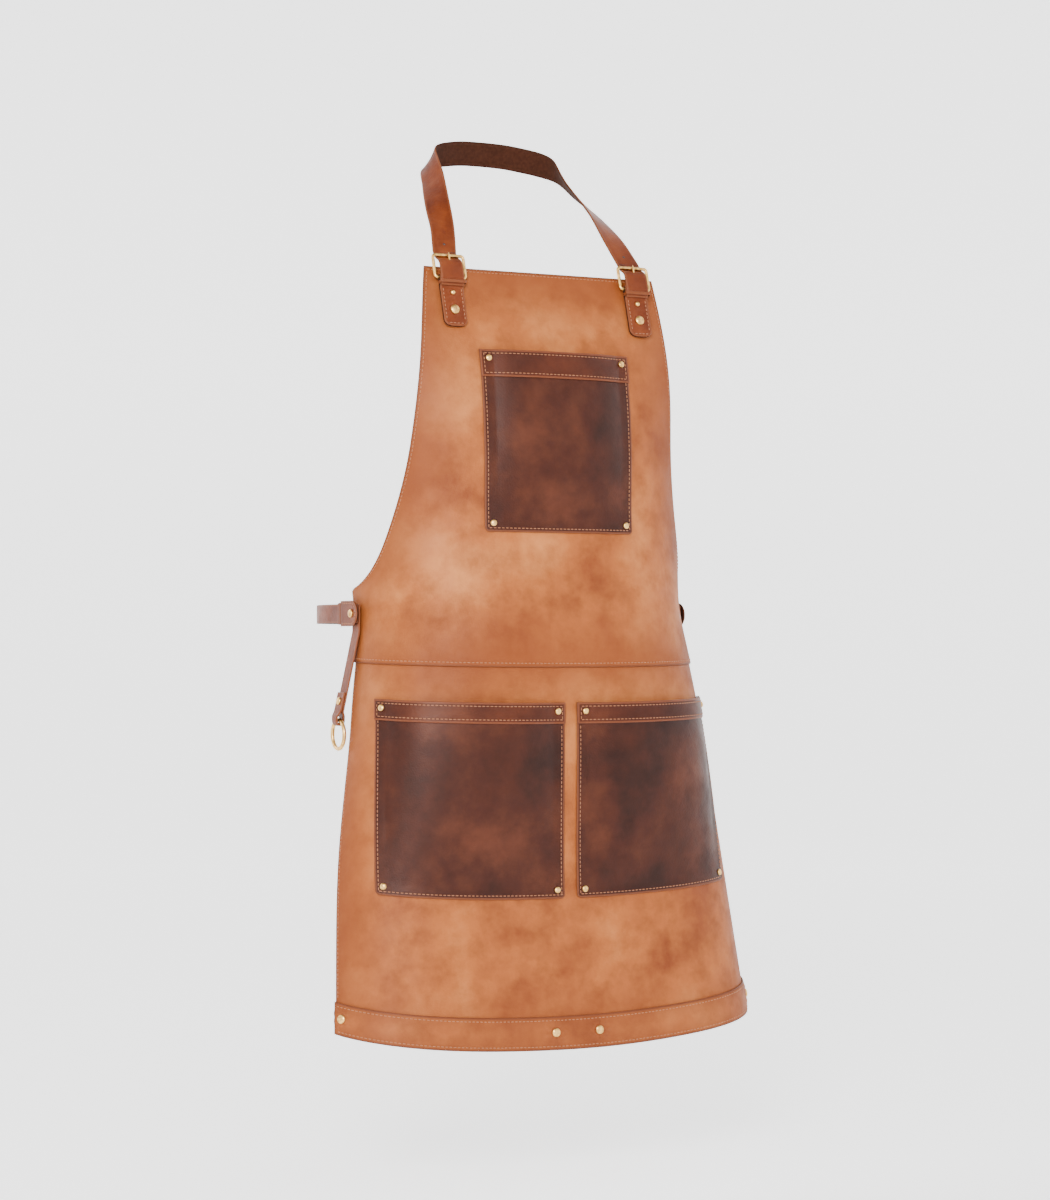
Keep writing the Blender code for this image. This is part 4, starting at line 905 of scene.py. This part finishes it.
bow = np.linspace(0, np.pi, 25)
straight = np.concatenate(([0.010, 0.004, -0.006, -0.012], np.linspace(-0.016, -0.094, 24), [closed]))
front = np.stack((hanging(straight), straight), 1)
entry = [(ring_out + wall * 0.55, closed - 0.004), (ring_out + wall, hang + 0.0035)]
turn_back = np.stack((ring_out + wall * np.cos(bow), hang - 0.0012 - wall * np.sin(bow)), 1)
leave = [(ring_out - wall, hang + 0.0035), (hanging(closed) - doubled - 0.0012, closed - 0.0035)]
rise = np.linspace(closed + 0.0015, hang + FOLD_RISE, 12)
back = np.stack((hanging(rise) - doubled, rise), 1)
keys = np.concatenate((front, entry, turn_back, leave, back))
yz = smooth_line(np.insert(keys, 0, 0.0, axis=1), 150)[:, 1:]
widths = TOWEL_NARROW + (TOWEL_WIDTH - TOWEL_NARROW) * ease((yz[:, 1] - hang) / 0.012)
towel = strap("towel_strap_leather", in_axes(hook, np.insert(yz, 0, 0.0, axis=1)), (0, 1.0, 0), widths,
              STRAP_THICKNESS)
towel.data.attributes["back"].data.foreach_set("value", np.zeros(len(towel.data.vertices), np.float32))
finish_with(towel, strap_leather, "strap_leather", "towel_strap", "towel_strap")
level = hang + 0.0205
lean = np.array((hook[0], hook[1], np.cos(FLARE) * hook[2] - np.sin(FLARE) * hook[3],
                 np.cos(FLARE) * hook[3] + np.sin(FLARE) * hook[2]))
lean[0] = in_axes(hook, (0.0, hanging(level) - doubled - out, level))
profile = domed_profile(TOWEL_RIVET_RADIUS, doubled + STRAP_THICKNESS + FIT, 0.5)
cap = turned("towel_rivet_dome", profile, lean)
finish_with(cap, brass, "brass", "towel_strap", "towel_rivet")
round_way = np.linspace(0, 2 * np.pi, 73)[:-1]
ring = in_axes(hook, np.stack((RING_RADIUS * np.sin(round_way), 0 * round_way + ring_out,
                               hang + RING_RADIUS * (np.cos(round_way) - 1)), 1))
finish_with(tube("towel_ring_wire", ring, RING_WIRE, True, 20), brass, "brass", "towel_ring", "towel_ring")


# ---------------------------------------------------------------------------
# Studio. A round pale floor sweeps up into a wall all round, and both glow less behind the camera.
# A large soft light stands beside the camera, with weak ones at the right and behind. The camera is in
# front of the apron and to its left.

low, high = np.array(cad_box)
FLOOR_DROP = 0.16
FLAT_REACH, WALL_BEND, WALL_HEIGHT = 4.5, 1.5, 9.0
bend = np.linspace(0, np.pi / 2, 24)
reach = np.concatenate((np.linspace(0.0002, FLAT_REACH, 12), FLAT_REACH + WALL_BEND * np.sin(bend[1:]),
                        (FLAT_REACH + WALL_BEND,)))
rise = np.concatenate((np.zeros(12), WALL_BEND * (1 - np.cos(bend[1:])), (WALL_HEIGHT,)))
reach, turn = np.meshgrid(reach, np.linspace(0, 2 * np.pi, 97), indexing="ij")
floor_z = np.broadcast_to(low[2] - FLOOR_DROP + rise[:, None], reach.shape)
floor = make_mesh("studio_floor", np.stack((reach * np.cos(turn), reach * np.sin(turn), floor_z), -1),
                  grid_faces(*reach.shape))
VIEW = np.array((0.4695, 0.8829, 0.0))       # level view direction
paper = bpy.data.materials.new("studio_paper")
paper.use_nodes = True
tree = paper.node_tree
shader = tree.nodes["Principled BSDF"]
shader.inputs["Base Color"].default_value = (0.9, 0.9, 0.9, 1)
shader.inputs["Roughness"].default_value = 0.9
shader.inputs["Emission Color"].default_value = (1, 1, 1, 1)
place = node(tree, "TexCoord").outputs["Object"]
beyond = node(tree, "VectorMath", {0: place, 1: VIEW}, operation="DOT_PRODUCT")
glow = node(tree, "MapRange", {"Value": beyond.outputs["Value"], "From Min": -3.0, "From Max": 0.0,
                               "To Min": 0.26, "To Max": 0.95})
tree.links.new(glow.outputs["Result"], shader.inputs["Emission Strength"])
floor.data.materials.append(paper)

surround = bpy.data.worlds.new("studio_surround")
surround.use_nodes = True
surround.node_tree.nodes["Background"].inputs["Color"].default_value = (1.0, 1.0, 1.0, 1)
surround.node_tree.nodes["Background"].inputs["Strength"].default_value = 0.6
bpy.context.scene.world = surround


def aim(thing, place, target):
    """Set a light or camera at a place with its -Z axis on the target."""
    direction = Vector(target) - Vector(place)
    thing.matrix_world = Matrix.Translation(place) @ direction.to_track_quat("-Z", "Y").to_matrix().to_4x4()


def soft_light(name, place, size, power):
    """Square area light that faces the apron's middle."""
    lamp = bpy.data.lights.new(name, "AREA")
    lamp.size = size
    lamp.energy = power
    thing = bpy.data.objects.new(name, lamp)
    bpy.context.scene.collection.objects.link(thing)
    aim(thing, place, (0, low[1] + 0.1, (low[2] + high[2]) / 2))


soft_light("key_light", (-1.7, -2.6, 0.5), 0.9, 135)
soft_light("fill_light", (2.4, -1.8, 0.2), 1.8, 1.5)
soft_light("back_light", (-1.8, 1.8, 0.8), 1.5, 18)

VIEW_DISTANCE = 3.2
lens = bpy.data.cameras.new("camera")
lens.lens = 86.6
lens.sensor_width = 36.0
lens.sensor_fit = "AUTO"
lens.shift_x, lens.shift_y = -0.0147, 0.0375
camera = bpy.data.objects.new("camera", lens)
bpy.context.scene.collection.objects.link(camera)
stand = HEM_FRONT + (0.0, 0.080, 0.4375) - VIEW * VIEW_DISTANCE
aim(camera, stand, stand + VIEW)
bpy.context.scene.camera = camera
